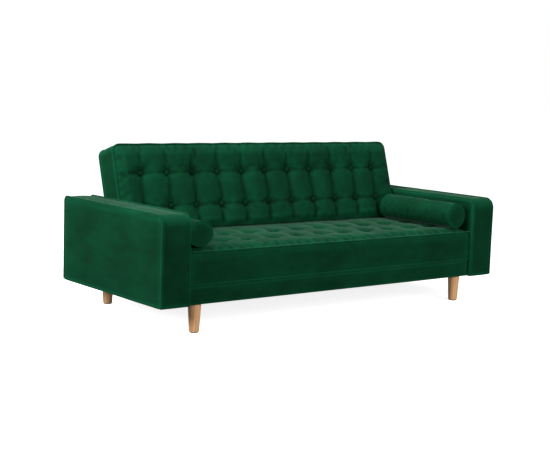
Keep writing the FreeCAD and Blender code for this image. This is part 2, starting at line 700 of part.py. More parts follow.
def make_back_frame():
    outer = BACK_PLATE_X
    z0 = PANEL_LEVEL
    z1 = BACK_FRAME_LEVEL
    y0 = BACK_END_FROM_PIVOT + BACK_END_WALL + BACK_POCKET_CLEARANCE
    y1 = BACK_END_FROM_PIVOT + BACK_LENGTH - BACK_END_WALL - BACK_POCKET_CLEARANCE
    inner = outer - BACK_RAIL_WIDTH
    low_inner = y0 + BACK_RAIL_WIDTH
    high_inner = y1 - BACK_RAIL_WIDTH
    save("back_bottom_rail", stand_up(box(-inner, inner, y0, low_inner, z0, z1)))
    save("back_top_rail", stand_up(box(-inner, inner, high_inner, y1, z0, z1)))
    stile_start = BACK_END_FROM_PIVOT + NOTCH_AHEAD + BACK_POCKET_CLEARANCE
    for name, side in SIDES.items():
        foot = side_box(side, inner, NOTCH_X - BACK_POCKET_CLEARANCE, y0, stile_start, z0, z1)
        stile = side_box(side, inner, outer, stile_start, y1, z0, z1).fuse(foot)
        save(f"back_{name}_stile", stand_up(stile.cut(back_arm_screws(side))))
    save("back_mid_stiles", *[
        stand_up(box(x - BACK_RAIL_WIDTH / 2, x + BACK_RAIL_WIDTH / 2, low_inner, high_inner, z0, z1))
        for x in (-CROSS_RAIL_X, CROSS_RAIL_X)
    ])
    bands = []
    columns = [(n - (SPRINGS - 1) / 2) * TUFT_PITCH for n in range(SPRINGS)]
    for x in columns:
        bands.append(stand_up(box(
            x - WEBBING_WIDTH / 2, x + WEBBING_WIDTH / 2, low_inner, high_inner,
            z1 - WEBBING_THICKNESS, z1,
        )))
    save("back_webbing", *bands)


# ---------------------------------------------------------------- hinges


def pivot_pin(side, clearance):
    head_x = BRACKET_X + PLATE_THICKNESS
    shank = side_rod(side, PIN_NUT_X, head_x, PIVOT_Y, PIVOT_Z, PIN_RADIUS + clearance)
    head = side_rod(side, head_x, head_x + PIN_HEAD, PIVOT_Y, PIVOT_Z, PIN_HEAD_RADIUS)
    return shank.fuse(head)


def hinge_bore(side, radius):
    return side_rod(side, PIN_NUT_X - 1, ARM_INNER, PIVOT_Y, PIVOT_Z, radius)


def make_bracket(name, side):
    x1 = BRACKET_X + PLATE_THICKNESS
    low = (BRACKET_X, x1) if side > 0 else (-x1, -BRACKET_X)
    foot_top = BASE_TOP + PLATE_THICKNESS
    web = polygon_yz([
        (PIVOT_Y - BRACKET_AHEAD, foot_top), (PIVOT_Y + BRACKET_BEHIND, foot_top),
        (PIVOT_Y + HUB_RADIUS, PIVOT_Z), (PIVOT_Y - HUB_RADIUS, PIVOT_Z),
    ], *low)
    hub = side_rod(side, BRACKET_X, x1, PIVOT_Y, PIVOT_Z, HUB_RADIUS)
    foot = side_box(
        side, x1 - BRACKET_FOOT_WIDTH, x1, PIVOT_Y - BRACKET_AHEAD, PIVOT_Y + BRACKET_BEHIND,
        BASE_TOP, foot_top,
    )
    bracket = web.fuse([hub, foot])
    save(f"{name}_hinge_bracket", bracket.cut([hinge_bore(side, PIN_RADIUS)] + bracket_screws(side)))


def make_seat_arm(name, side):
    x0 = SEAT_PLATE_X
    x1 = x0 + PLATE_THICKNESS
    elbow = (SEAT_FRAME_REAR + SCREW_LENGTH / 2, SEAT_PLATE_Z)
    start = (seat_arm_bolt_places()[-1] - PLATE_HALF_WIDTH, SEAT_PLATE_Z)
    arm = bar_yz(side, x0, x1, start, elbow, PLATE_HALF_WIDTH)
    arm = arm.fuse([
        bar_yz(side, x0, x1, elbow, (PIVOT_Y, PIVOT_Z), PLATE_HALF_WIDTH),
        side_rod(side, x0, x1, PIVOT_Y, PIVOT_Z, HUB_RADIUS),
    ])
    bore = hinge_bore(side, PIN_RADIUS + PIN_CLEARANCE)
    save(f"{name}_seat_arm", arm.cut([bore] + seat_arm_screws(side)))
    drum = side_rod(side, DRUM_X, SEAT_PLATE_X, PIVOT_Y, PIVOT_Z, DRUM_RADIUS)
    return drum.cut(bore)


def make_back_arm(name, side):
    x0 = BACK_PLATE_X
    x1 = x0 + PLATE_THICKNESS
    elbow = (2 * BACK_END_FROM_PIVOT, BACK_PLATE_LEVEL)
    end = (BACK_END_FROM_PIVOT + NOTCH_AHEAD + 4 * BACK_RAIL_WIDTH, BACK_PLATE_LEVEL)
    arm = bar_yz(side, x0, x1, (0.0, 0.0), elbow, PLATE_HALF_WIDTH)
    arm = arm.fuse([
        bar_yz(side, x0, x1, elbow, end, PLATE_HALF_WIDTH),
        side_rod(side, x0, x1, 0.0, 0.0, HUB_RADIUS),
    ])
    bore = side_rod(side, x0 - 1, x1 + 1, 0.0, 0.0, PIN_RADIUS + PIN_CLEARANCE)
    save(f"{name}_back_arm", stand_up(arm.cut([bore] + back_arm_screws(side))))


def hex_nut(side):
    corners = []
    for n in range(7):
        angle = math.radians(60 * n)
        y = PIVOT_Y + PIN_NUT_RADIUS * math.cos(angle)
        z = PIVOT_Z + PIN_NUT_RADIUS * math.sin(angle)
        corners.append(vec(side * PIN_NUT_X, y, z))
    nut = Part.Face(Part.makePolygon(corners)).extrude(vec(side * PIN_NUT, 0, 0))
    return nut.cut(hinge_bore(side, PIN_RADIUS))


def make_hinges():
    drums = []
    for name, side in SIDES.items():
        make_bracket(name, side)
        drums.append(make_seat_arm(name, side))
        make_back_arm(name, side)
    save("ratchet_drums", *drums)
    sides = SIDES.values()
    save("pivot_pins", *[pivot_pin(side, 0.0) for side in sides])
    save("pivot_nuts", *[hex_nut(side) for side in sides])
    save("bracket_screws", *[screw for side in sides for screw in bracket_screws(side)])
    save("seat_arm_screws", *[screw for side in sides for screw in seat_arm_screws(side)])
    save("back_arm_screws", *[stand_up(screw) for side in sides for screw in back_arm_screws(side)])
    save("arm_bolts", *[bolt for side in sides for bolt in arm_bolts(side)])


# ---------------------------------------------------------------- bolsters


def make_bolsters():
    z = SEAT_TOP + BOLSTER_RADIUS + BOLSTER_SEAT_GAP
    for name, side in SIDES.items():
        x = ARM_INNER - BOLSTER_ARM_GAPS[name] - BOLSTER_RADIUS
        roll = Part.makeCylinder(
            BOLSTER_RADIUS, BOLSTER_LENGTH, vec(side * x, BOLSTER_FRONT, z), vec(0, 1, 0)
        )
        rims = [edge for edge in roll.Edges if isinstance(edge.Curve, Part.Circle)]
        save(f"{name}_bolster", roll.makeFillet(BOLSTER_EDGE, rims))


make_legs()
make_base()
make_rests()
for side_name, side_sign in SIDES.items():
    make_arm(side_name, side_sign)
make_seat_cushion()
make_seat_frame()
make_back_cushion()
make_back_frame()
make_hinges()
make_bolsters()
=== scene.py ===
"""Upholstery, timber and hardware finishes for a click-clack futon sofa bed, built around its CAD frame."""

import json
import logging
import math
from dataclasses import dataclass, field
from enum import Enum
from typing import Callable, Iterable, Sequence

import bpy
import numpy as np
from mathutils import Matrix, Vector

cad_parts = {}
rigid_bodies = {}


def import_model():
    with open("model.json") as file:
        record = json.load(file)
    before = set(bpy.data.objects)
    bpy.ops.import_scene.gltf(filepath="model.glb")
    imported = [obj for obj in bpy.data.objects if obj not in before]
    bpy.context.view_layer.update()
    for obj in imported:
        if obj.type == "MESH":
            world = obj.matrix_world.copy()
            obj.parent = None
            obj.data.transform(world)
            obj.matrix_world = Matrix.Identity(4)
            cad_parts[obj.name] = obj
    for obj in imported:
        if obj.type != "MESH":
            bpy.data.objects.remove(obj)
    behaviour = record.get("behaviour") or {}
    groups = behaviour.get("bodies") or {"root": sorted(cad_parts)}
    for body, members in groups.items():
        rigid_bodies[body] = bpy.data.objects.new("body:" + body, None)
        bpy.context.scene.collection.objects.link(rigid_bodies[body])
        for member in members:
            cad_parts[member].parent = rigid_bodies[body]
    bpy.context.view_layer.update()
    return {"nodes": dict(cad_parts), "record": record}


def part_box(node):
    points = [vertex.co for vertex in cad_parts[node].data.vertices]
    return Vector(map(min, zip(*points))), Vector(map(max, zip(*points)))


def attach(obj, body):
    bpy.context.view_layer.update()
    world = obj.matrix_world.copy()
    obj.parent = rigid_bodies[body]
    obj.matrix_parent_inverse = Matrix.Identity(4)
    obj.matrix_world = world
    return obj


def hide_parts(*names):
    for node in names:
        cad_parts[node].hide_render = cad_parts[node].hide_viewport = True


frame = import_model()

LOG = logging.getLogger("sofa_bed")
MM = 0.001
Array = np.ndarray

# Cloth frames, and the depth of fold that counts as a full one, which takes the full painted highlight or
# shade on the velvet.
SETTLE_FRAMES = 20
FULL_FOLD = 0.36 * MM

# Distance between the rings of a piping cord.
PIPING_STEP = 9.0 * MM

# The hinge stands in this stretch of x, inside the ends of the seat and the back.
HINGE_FROM, HINGE_TO = 0.8445, 0.93

# Where each loose bolster lies along x, and how far it has slumped, by side.
BOLSTER_PLACES = {-1: -0.824, 1: 0.810}
BOLSTER_SLUMP = {-1: 0.13, 1: 0.0}

# The light that the white surround gives, and the gamma of the view.
AMBIENT = 0.22
VIEW_GAMMA = 0.94


# ---------------------------------------------------------------- shader maths


class Num:
    """A shader socket that takes part in Python arithmetic."""

    def __init__(self, shader: "Shader", socket: bpy.types.NodeSocket) -> None:
        """Args: shader: the tree builder. socket: an output socket holding a number."""
        self.shader = shader
        self.socket = socket

    def _math(self, operation: str, first: object, second: object) -> "Num":
        """One Math node. Returns: its result."""
        node = self.shader.node("ShaderNodeMath", {"operation": operation}, {0: first, 1: second})
        return Num(self.shader, node.outputs[0])

    def __add__(self, other: object) -> "Num":
        """self + other."""
        return self._math("ADD", self, other)

    def __radd__(self, other: object) -> "Num":
        """other + self."""
        return self._math("ADD", other, self)

    def __sub__(self, other: object) -> "Num":
        """self - other."""
        return self._math("SUBTRACT", self, other)

    def __rsub__(self, other: object) -> "Num":
        """other - self."""
        return self._math("SUBTRACT", other, self)

    def __mul__(self, other: object) -> "Num":
        """self * other."""
        return self._math("MULTIPLY", self, other)

    def __rmul__(self, other: object) -> "Num":
        """other * self."""
        return self._math("MULTIPLY", other, self)

    def clamp(self) -> "Num":
        """self held between 0 and 1."""
        node = self.shader.node("ShaderNodeClamp", {}, {0: self})
        return Num(self.shader, node.outputs[0])


class Shader:
    """Builds one material's node tree."""

    def __init__(self, name: str) -> None:
        """Args: name: the material's name."""
        self.material = bpy.data.materials.new(name)
        self.material.use_nodes = True
        self.tree = self.material.node_tree
        self.tree.nodes.clear()
        self.place = self.node("ShaderNodeTexCoord").outputs["Object"]

    def node(self, kind: str, settings: dict | None = None, inputs: dict | None = None) -> bpy.types.Node:
        """Adds a node.

        Args:
            kind: the node's type.
            settings: its properties, set before anything is linked.
            inputs: socket name or index to a value, a Num or an output socket.

        Returns:
            The node.
        """
        node = self.tree.nodes.new(kind)
        for key, value in (settings or {}).items():
            if key == "stops":
                self._stops(node, value)
            else:
                setattr(node, key, value)
        for key, value in (inputs or {}).items():
            if isinstance(value, Num):
                self.tree.links.new(value.socket, node.inputs[key])
            elif isinstance(value, bpy.types.NodeSocket):
                self.tree.links.new(value, node.inputs[key])
            else:
                node.inputs[key].default_value = value
        return node

    @staticmethod
    def _stops(node: bpy.types.Node, stops: Sequence[tuple[float, float]]) -> None:
        """Sets a grey ramp's stops from (position, brightness) pairs."""
        ramp = node.color_ramp
        while len(ramp.elements) < len(stops):
            ramp.elements.new(0.5)
        for element, (position, level) in zip(ramp.elements, stops):
            element.position = position
            element.color = (level, level, level, 1.0)

    def mapped(self, scale: Sequence[float], turn: Sequence[float] = (0, 0, 0)) -> bpy.types.NodeSocket:
        """Object coordinates, scaled and turned. Returns: the vector."""
        node = self.node(
            "ShaderNodeMapping", {}, {"Vector": self.place, "Scale": tuple(scale), "Rotation": tuple(turn)}
        )
        return node.outputs[0]

    def noise(self, scale: float, detail: float = 3.0, rough: float = 0.5, at: object = None) -> Num:
        """A noise texture's factor, at a scale in cycles per metre."""
        inputs = {"Vector": at or self.place, "Scale": scale, "Detail": detail, "Roughness": rough}
        return Num(self, self.node("ShaderNodeTexNoise", {}, inputs).outputs[0])

    def ramp(self, value: Num, stops: Sequence[tuple[float, float]]) -> Num:
        """value through a grey ramp."""
        node = self.node("ShaderNodeValToRGB", {"stops": stops}, {0: value})
        return Num(self, node.outputs[0])

    def mix(self, share: object, first: object, second: object) -> bpy.types.NodeSocket:
        """Two colours mixed. Returns: the colour socket."""
        node = self.node("ShaderNodeMix", {"data_type": "RGBA"}, {0: share, 6: first, 7: second})
        return node.outputs[2]

    def bump(
        self, height: Num, strength: float, distance: float, under: object = None
    ) -> bpy.types.NodeSocket:
        """A Bump node, over another bump if one is given. Returns: the normal."""
        inputs = {"Height": height, "Strength": strength, "Distance": distance}
        if under is not None:
            inputs["Normal"] = under
        return self.node("ShaderNodeBump", {}, inputs).outputs[0]

    def surface(self, **inputs: object) -> bpy.types.Material:
        """Ends the tree in a Principled shader, whose sockets are named with _ for spaces."""
        named = {key.replace("_", " "): value for key, value in inputs.items()}
        shader = self.node("ShaderNodeBsdfPrincipled", {}, named)
        self.node("ShaderNodeOutputMaterial", {}, {0: shader.outputs[0]})
        return self.material


def rgb(red: float, green: float, blue: float) -> tuple[float, float, float, float]:
    """A display colour from 0 to 255 a channel. Returns: it as linear RGBA."""
    def linear(value: float) -> float:
        """One channel, from display to linear."""
        share = value / 255
        return share / 12.92 if share <= 0.04045 else ((share + 0.055) / 1.055) ** 2.4
    return (linear(red), linear(green), linear(blue), 1.0)


# ---------------------------------------------------------------- finishes


@dataclass(frozen=True)
class Velvet:
    """Cut-pile upholstery velvet: soft, dark face on, and pale where the pile is seen side on, with painted
    highlight on fold ridges and painted shade in creases.
    """

    name: str = "emerald_velvet"
    # The shadow colour is painted shade in the creases, and also the dark of the pile's fine depth texture.
    shadow: tuple = rgb(2, 23, 12)
    body: tuple = rgb(7, 50, 30)
    # The paler colour serves both the brushed nap, which varies at random, and the painted highlight on fold
    # ridges.
    brushed_and_highlight: tuple = rgb(12, 79, 51)
    sheen: float = 0.17
    sheen_tint: tuple = rgb(165, 215, 190)
    pile_scale: float = 900.0

    def build(self) -> bpy.types.Material:
        """Returns: the material."""
        s = Shader(self.name)
        nap = s.noise(3.2, 4.0, 0.55)
        hand = s.noise(11.0, 3.0, 0.6, s.mapped((1.0, 0.5, 1.6), (0.4, 0.2, 0.7)))
        pile = s.noise(self.pile_scale, 2.0, 0.7)
        weave = s.noise(self.pile_scale * 0.35, 2.0, 0.6, s.mapped((1.0, 1.0, 2.2)))
        brushed_and_highlight = s.ramp(nap * 0.6 + hand * 0.4, [(0.38, 0.0), (0.62, 1.0)])
        # Painted light from the fold attribute: ridges are lightened toward the paler colour as painted
        # highlight, and creases are darkened toward the shadow colour as painted shade.
        fold = Num(s, s.node("ShaderNodeAttribute", {"attribute_name": "fold"}).outputs["Fac"])
        ridge, crease = fold.clamp(), (fold * -1.0).clamp()
        nap_tone_and_highlight = s.mix((brushed_and_highlight * 0.42 + ridge * 0.7).clamp(), self.body, self.brushed_and_highlight)
        # The pile's fine depth texture and the painted crease shade darken the colour toward the shadow
        # colour.
        depth = s.ramp(pile * 0.6 + weave * 0.4, [(0.30, 1.0), (0.55, 0.0)])
        colour = s.mix((depth * 0.4 + crease * 0.6).clamp(), nap_tone_and_highlight, self.shadow)
        soft = s.bump(hand + nap * 0.5, 0.10, 2.0 * MM)
        normal = s.bump(pile + weave * 0.5, 0.22, 0.35 * MM, soft)
        return s.surface(
            Base_Color=colour, Roughness=0.80 + 0.14 * pile, Normal=normal, Specular_IOR_Level=0.04,
            Sheen_Weight=self.sheen, Sheen_Roughness=0.3, Sheen_Tint=self.sheen_tint,
        )


@dataclass(frozen=True)
class Timber:
    """Planed timber with growth rings stretched along one axis."""

    name: str
    early: tuple
    late: tuple
    stretch: tuple
    ring_scale: float = 26.0
    gloss: float = 0.45
    coat: float = 0.0
    turn: tuple = (0.0, 0.0, 0.0)

    def build(self) -> bpy.types.Material:
        """Returns: the material."""
        s = Shader(self.name)
        along = s.mapped(self.stretch, self.turn)
        warp = s.noise(2.4, 3.0, 0.5, along)
        rings_at = s.node(
            "ShaderNodeVectorMath", {"operation": "MULTIPLY_ADD"},
            {0: s.node("ShaderNodeCombineXYZ", {}, {0: warp, 1: warp, 2: warp}).outputs[0],
             1: (0.16, 0.16, 0.16), 2: along},
        ).outputs[0]
        rings = Num(s, s.node(
            "ShaderNodeTexWave", {"wave_type": "RINGS", "rings_direction": "SPHERICAL"},
            {"Vector": rings_at, "Scale": self.ring_scale, "Distortion": 2.0, "Detail": 3.0},
        ).outputs["Fac"])
        fibre = s.noise(self.ring_scale * 22.0, 3.0, 0.65, along)
        pores = s.ramp(s.noise(self.ring_scale * 60.0, 1.0, 0.5, along), [(0.60, 0.0), (0.72, 1.0)])
        grain = (rings * 0.55 + fibre * 0.45).clamp()
        colour = s.mix(grain, self.early, self.late)
        colour = s.mix(pores * 0.35, colour, tuple(0.55 * c for c in self.late[:3]) + (1.0,))
        normal = s.bump(grain - pores * 0.6, 0.16, 0.4 * MM)
        return s.surface(
            Base_Color=colour, Roughness=self.gloss + 0.16 * fibre, Normal=normal,
            Coat_Weight=self.coat, Coat_Roughness=0.28,
        )


@dataclass(frozen=True)
class Metal:
    """Steel with rolled or drawn marks and a little dust in random blotches."""

    name: str
    colour: tuple
    worn: tuple
    metallic: float
    rough: float
    marks: tuple = (1.0, 1.0, 8.0)

    def build(self) -> bpy.types.Material:
        """Returns: the material."""
        s = Shader(self.name)
        drawn = s.noise(160.0, 3.0, 0.6, s.mapped(self.marks))
        blotch = s.noise(38.0, 3.0, 0.6)
        wear = s.ramp(blotch * 0.7 + drawn * 0.3, [(0.52, 0.0), (0.66, 1.0)])
        colour = s.mix(wear * 0.5, self.colour, self.worn)
        normal = s.bump(drawn + blotch * 0.4, 0.12, 0.2 * MM)
        return s.surface(
            Base_Color=colour, Metallic=self.metallic, Roughness=self.rough + 0.2 * drawn, Normal=normal
        )


@dataclass(frozen=True)
class Cloth:
    """A plain woven or felted cloth, for linings and webbing."""

    name: str
    warp: tuple
    weft: tuple
    threads: float
    rough: float = 0.9
    relief: float = 0.3

    def build(self) -> bpy.types.Material:
        """Returns: the material."""
        s = Shader(self.name)
        lengthwise = Num(s, s.node(
            "ShaderNodeTexWave", {"wave_type": "BANDS", "bands_direction": "X"},
            {"Vector": s.place, "Scale": self.threads, "Distortion": 0.6, "Detail": 1.0},
        ).outputs["Fac"])
        across = Num(s, s.node(
            "ShaderNodeTexWave", {"wave_type": "BANDS", "bands_direction": "Y"},
            {"Vector": s.place, "Scale": self.threads, "Distortion": 0.6, "Detail": 1.0},
        ).outputs["Fac"])
        felt = s.noise(self.threads * 2.0, 3.0, 0.7)
        weave = lengthwise * 0.4 + across * 0.4 + felt * 0.2
        colour = s.mix(weave, self.warp, self.weft)
        normal = s.bump(weave, self.relief, 0.5 * MM)
        return s.surface(Base_Color=colour, Roughness=self.rough - 0.1 * felt, Normal=normal)


@dataclass(frozen=True)
class Moulded:
    """Moulded rubber or nylon with a fine matt grain."""

    name: str
    colour: tuple
    dusty: tuple
    rough: float

    def build(self) -> bpy.types.Material:
        """Returns: the material."""
        s = Shader(self.name)
        grain = s.noise(1400.0, 2.0, 0.6)
        dust = s.ramp(s.noise(60.0, 4.0, 0.6), [(0.5, 0.0), (0.75, 1.0)])
        colour = s.mix(dust * 0.4, self.colour, self.dusty)
        normal = s.bump(grain, 0.2, 0.15 * MM)
        return s.surface(Base_Color=colour, Roughness=self.rough + 0.15 * grain, Normal=normal)


class Finish(Enum):
    """Every finish on the sofa, by the maker's name for it."""

    VELVET = Velvet()
    # The piping takes a lighter copy of the velvet with more sheen: its lighter colour is painted highlight
    # along the cords.
    PIPING = Velvet(name="piping_velvet", body=rgb(4, 60, 36), brushed_and_highlight=rgb(14, 88, 58), sheen=0.32)
    # A darker copy of the velvet: on the buttons its dark colour is painted shade from their dimples; the
    # stitches' thread takes the same dark colour.
    BUTTON = Velvet(name="button_velvet", body=rgb(0, 38, 21), sheen=0.14)
    LEG = Timber(
        "lacquered_beech", rgb(238, 192, 142), rgb(204, 148, 98), (1.0, 1.0, 0.10), 30.0, 0.38, 0.3
    )
    PINE_ACROSS = Timber("pine_along_width", rgb(226, 190, 136), rgb(190, 140, 84), (0.05, 1.0, 1.0))
    PINE_DEEP = Timber("pine_along_depth", rgb(226, 190, 136), rgb(190, 140, 84), (1.0, 0.05, 1.0))
    PINE_TALL = Timber("pine_upright", rgb(226, 190, 136), rgb(190, 140, 84), (1.0, 1.0, 0.05))
    PLYWOOD = Timber("plywood", rgb(214, 180, 132), rgb(186, 146, 98), (0.5, 0.06, 6.0), 18.0, 0.55)
    BLACK_STEEL = Metal("black_steel", rgb(26, 26, 28), rgb(92, 92, 94), 0.35, 0.38)
    ZINC = Metal("zinc_plate", rgb(190, 186, 170), rgb(150, 146, 132), 1.0, 0.28)
    SPRING = Metal("spring_wire", rgb(120, 122, 126), rgb(80, 80, 84), 1.0, 0.34, (8.0, 1.0, 8.0))
    LINING = Cloth("black_lining", rgb(22, 22, 24), rgb(40, 40, 43), 420.0)
    WEBBING = Cloth("elastic_webbing", rgb(206, 194, 166), rgb(120, 96, 66), 260.0)
    RUBBER = Moulded("black_rubber", rgb(22, 22, 22), rgb(70, 70, 68), 0.6)
    NYLON = Moulded("dark_nylon", rgb(40, 36, 33), rgb(84, 80, 74), 0.42)


class Finishes:
    """Builds each finish once, when it is first asked for."""

    def __init__(self) -> None:
        """Starts with none built."""
        self._built: dict[Finish, bpy.types.Material] = {}

    def __call__(self, finish: Finish) -> bpy.types.Material:
        """Returns: the finish's material."""
        if finish not in self._built:
            self._built[finish] = finish.value.build()
        return self._built[finish]


# ---------------------------------------------------------------- mesh tools


def ease(value: Array) -> Array:
    """Smoothstep of values held between 0 and 1."""
    held = np.clip(value, 0.0, 1.0)
    return held * held * (3.0 - 2.0 * held)


@dataclass(frozen=True)
class Ripple:
    """Smooth noise made of a few seeded waves, for folds and puckers."""

    seed: int
    wavelength: float
    waves: int = 10

    def at(self, points: Array) -> Array:
        """Args: points: (n, 3) places. Returns: n heights, mostly within -1 and 1."""
        random = np.random.default_rng(self.seed)
        total = np.zeros(len(points))
        for _ in range(self.waves):
            direction = random.normal(size=3)
            direction /= np.linalg.norm(direction)
            length = self.wavelength * random.uniform(0.7, 1.6)
            total += np.sin(points @ direction * (2 * math.pi / length) + random.uniform(0, 2 * math.pi))
        return total / math.sqrt(self.waves)


@dataclass
class Skin:
    """The surface of a box as a grid, before it is shaped: places run from 0 to 1 along each side."""

    cells: tuple[int, int, int]
    places: Array = field(init=False)
    faces: list = field(init=False)

    def __post_init__(self) -> None:
        """Makes the grid, with its six sides joined and facing outwards."""
        index: dict[tuple[int, int, int], int] = {}
        faces = []

        def corner(key: tuple[int, int, int]) -> int:
            """The vertex at a grid place, made when it is first met."""
            return index.setdefault(key, len(index))

        for axis in range(3):
            a, b = (axis + 1) % 3, (axis + 2) % 3
            for end in (0, self.cells[axis]):
                for i in range(self.cells[a]):
                    for j in range(self.cells[b]):
                        ring = []
                        for di, dj in ((0, 0), (1, 0), (1, 1), (0, 1)):
                            key = [0, 0, 0]
                            key[axis], key[a], key[b] = end, i + di, j + dj
                            ring.append(corner(tuple(key)))
                        faces.append(ring if end else ring[::-1])
        self.places = np.array(list(index), float) / np.array(self.cells, float)
        self.faces = faces

    def mesh(self, name: str, points: Array) -> bpy.types.Object:
        """Args: name: the piece's name. points: the shaped places. Returns: a new object."""
        return new_object(name, points, self.faces)


def new_object(name: str, points: Array, faces: Sequence, edges: Sequence = ()) -> bpy.types.Object:
    """Makes a smooth-shaded mesh object at the origin. Returns: it."""
    mesh = bpy.data.meshes.new(name)
    mesh.from_pydata(np.asarray(points).tolist(), list(edges), [list(f) for f in faces])
    mesh.validate()
    mesh.shade_smooth()
    obj = bpy.data.objects.new(name, mesh)
    bpy.context.scene.collection.objects.link(obj)
    return obj


def coordinates(mesh: bpy.types.Mesh) -> Array:
    """Returns: a mesh's vertices as an (n, 3) array."""
    flat = np.empty(len(mesh.vertices) * 3)
    mesh.vertices.foreach_get("co", flat)
    return flat.reshape(-1, 3)


def set_coordinates(mesh: bpy.types.Mesh, points: Array) -> None:
    """Puts an (n, 3) array back as a mesh's vertices."""
    mesh.vertices.foreach_set("co", np.asarray(points, float).ravel())
    mesh.update()


def normals(mesh: bpy.types.Mesh) -> Array:
    """Returns: a mesh's vertex normals as an (n, 3) array."""
    flat = np.empty(len(mesh.vertices) * 3)
    mesh.vertex_normals.foreach_get("vector", flat)
    return flat.reshape(-1, 3)


def mark_folds_for_shading(obj: bpy.types.Object) -> None:
    """Stores how sharply a cover folds at each point: 1 on a ridge, -1 in a crease, 0 where it is flat; the
    velvet paints highlight on ridges and shade in creases from it.
    """
    mesh = obj.data
    points, out = coordinates(mesh), normals(mesh)
    pairs = np.empty(len(mesh.edges) * 2, int)
    mesh.edges.foreach_get("vertices", pairs)
    one, two = pairs.reshape(-1, 2).T
    count = np.bincount(one, minlength=len(points)) + np.bincount(two, minlength=len(points))

    def around(values: Array) -> Array:
        """The mean of each vertex's neighbours."""
        total = np.zeros_like(values)
        np.add.at(total, one, values[two])
        np.add.at(total, two, values[one])
        return total / np.maximum(count, 1).reshape(-1, *[1] * (values.ndim - 1))

    rise = -np.einsum("ij,ij->i", around(points) - points, out)
    for _ in range(4):
        rise = 0.5 * rise + 0.5 * around(rise)
    layer = mesh.attributes.new("fold", "FLOAT", "POINT")
    layer.data.foreach_set("value", np.clip(rise / FULL_FOLD, -1.0, 1.0))


def apply_modifiers(obj: bpy.types.Object) -> None:
    """Replaces an object's mesh with what its modifiers make of it, and removes them."""
    graph = bpy.context.evaluated_depsgraph_get()
    mesh = bpy.data.meshes.new_from_object(obj.evaluated_get(graph))
    mesh.name = obj.name
    obj.modifiers.clear()
    obj.data = mesh
    obj.vertex_groups.clear()


def inflate(obj: bpy.types.Object, held: Array, pressure: float, cap: float, slack: float = 0.03) -> None:
    """Lets a cover settle as cloth over its stuffing.

    Args:
        obj: the cover, whose faces look outwards.
        held: how firmly each vertex is sewn down, from 0 to 1.
        pressure: the stuffing's push.
        cap: how far a point may move, in metres.
        slack: the share by which the cloth is larger than the shape it starts from.
    """
    start = coordinates(obj.data)
    cloth = obj.copy()
    cloth.data = obj.data.copy()
    bpy.context.scene.collection.objects.link(cloth)
    group = cloth.vertex_groups.new(name="sewn")
    for level in np.unique(np.round(held, 2)):
        if level > 0:
            members = np.nonzero(np.round(held, 2) == level)[0].tolist()
            group.add(members, float(level), "REPLACE")
    modifier = cloth.modifiers.new("settle", "CLOTH")
    modifier.point_cache.frame_start = 1
    modifier.point_cache.frame_end = SETTLE_FRAMES
    settings = modifier.settings
    settings.quality = 5
    settings.mass = 0.35
    settings.air_damping = 4.0
    settings.tension_stiffness = 14.0
    settings.compression_stiffness = 10.0
    settings.shear_stiffness = 6.0
    settings.bending_stiffness = 0.4
    settings.shrink_min = -slack
    settings.use_pressure = True
    settings.uniform_pressure_force = pressure
    settings.effector_weights.gravity = 0.0
    settings.vertex_group_mass = group.name
    modifier.collision_settings.use_collision = False
    scene = bpy.context.scene
    for number in range(1, SETTLE_FRAMES + 1):
        scene.frame_set(number)
    graph = bpy.context.evaluated_depsgraph_get()
    moved = bpy.data.meshes.new_from_object(cloth.evaluated_get(graph))
    shift = coordinates(moved) - start
    length = np.linalg.norm(shift, axis=1)
    limited = np.where(length > 0, cap * np.tanh(length / cap) / np.maximum(length, 1e-9), 0.0)
    set_coordinates(obj.data, start + shift * limited[:, None])
    bpy.data.objects.remove(cloth)
    bpy.data.meshes.remove(moved)
    scene.frame_set(1)
    LOG.info("%s settled by up to %.1f mm", obj.name, float((length * limited).max()) / MM)


def cut_away(obj: bpy.types.Object, boxes: Iterable[tuple[Vector, Vector]]) -> None:
    """Cuts boxes, given by their low and high corners, out of a closed piece."""
    for low, high in boxes:
        cells = Skin((1, 1, 1))
        tool = cells.mesh("cutter", np.array(low) + cells.places * (np.array(high) - np.array(low)))
        modifier = obj.modifiers.new("cut", "BOOLEAN")
        modifier.operation = "DIFFERENCE"
        modifier.solver = "EXACT"
        modifier.object = tool
        apply_modifiers(obj)
        bpy.data.objects.remove(tool)


def dress(
    obj: bpy.types.Object, body: str, slot: str, material: bpy.types.Material, *nodes: str
) -> bpy.types.Object:
    """Gives a finished piece its material and its body, and hides the CAD nodes it stands for."""
    if not obj.data.materials:
        obj.data.materials.append(material)
    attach(obj, body)
    if nodes:
        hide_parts(*nodes)
    return obj


# ---------------------------------------------------------------- repeated parts


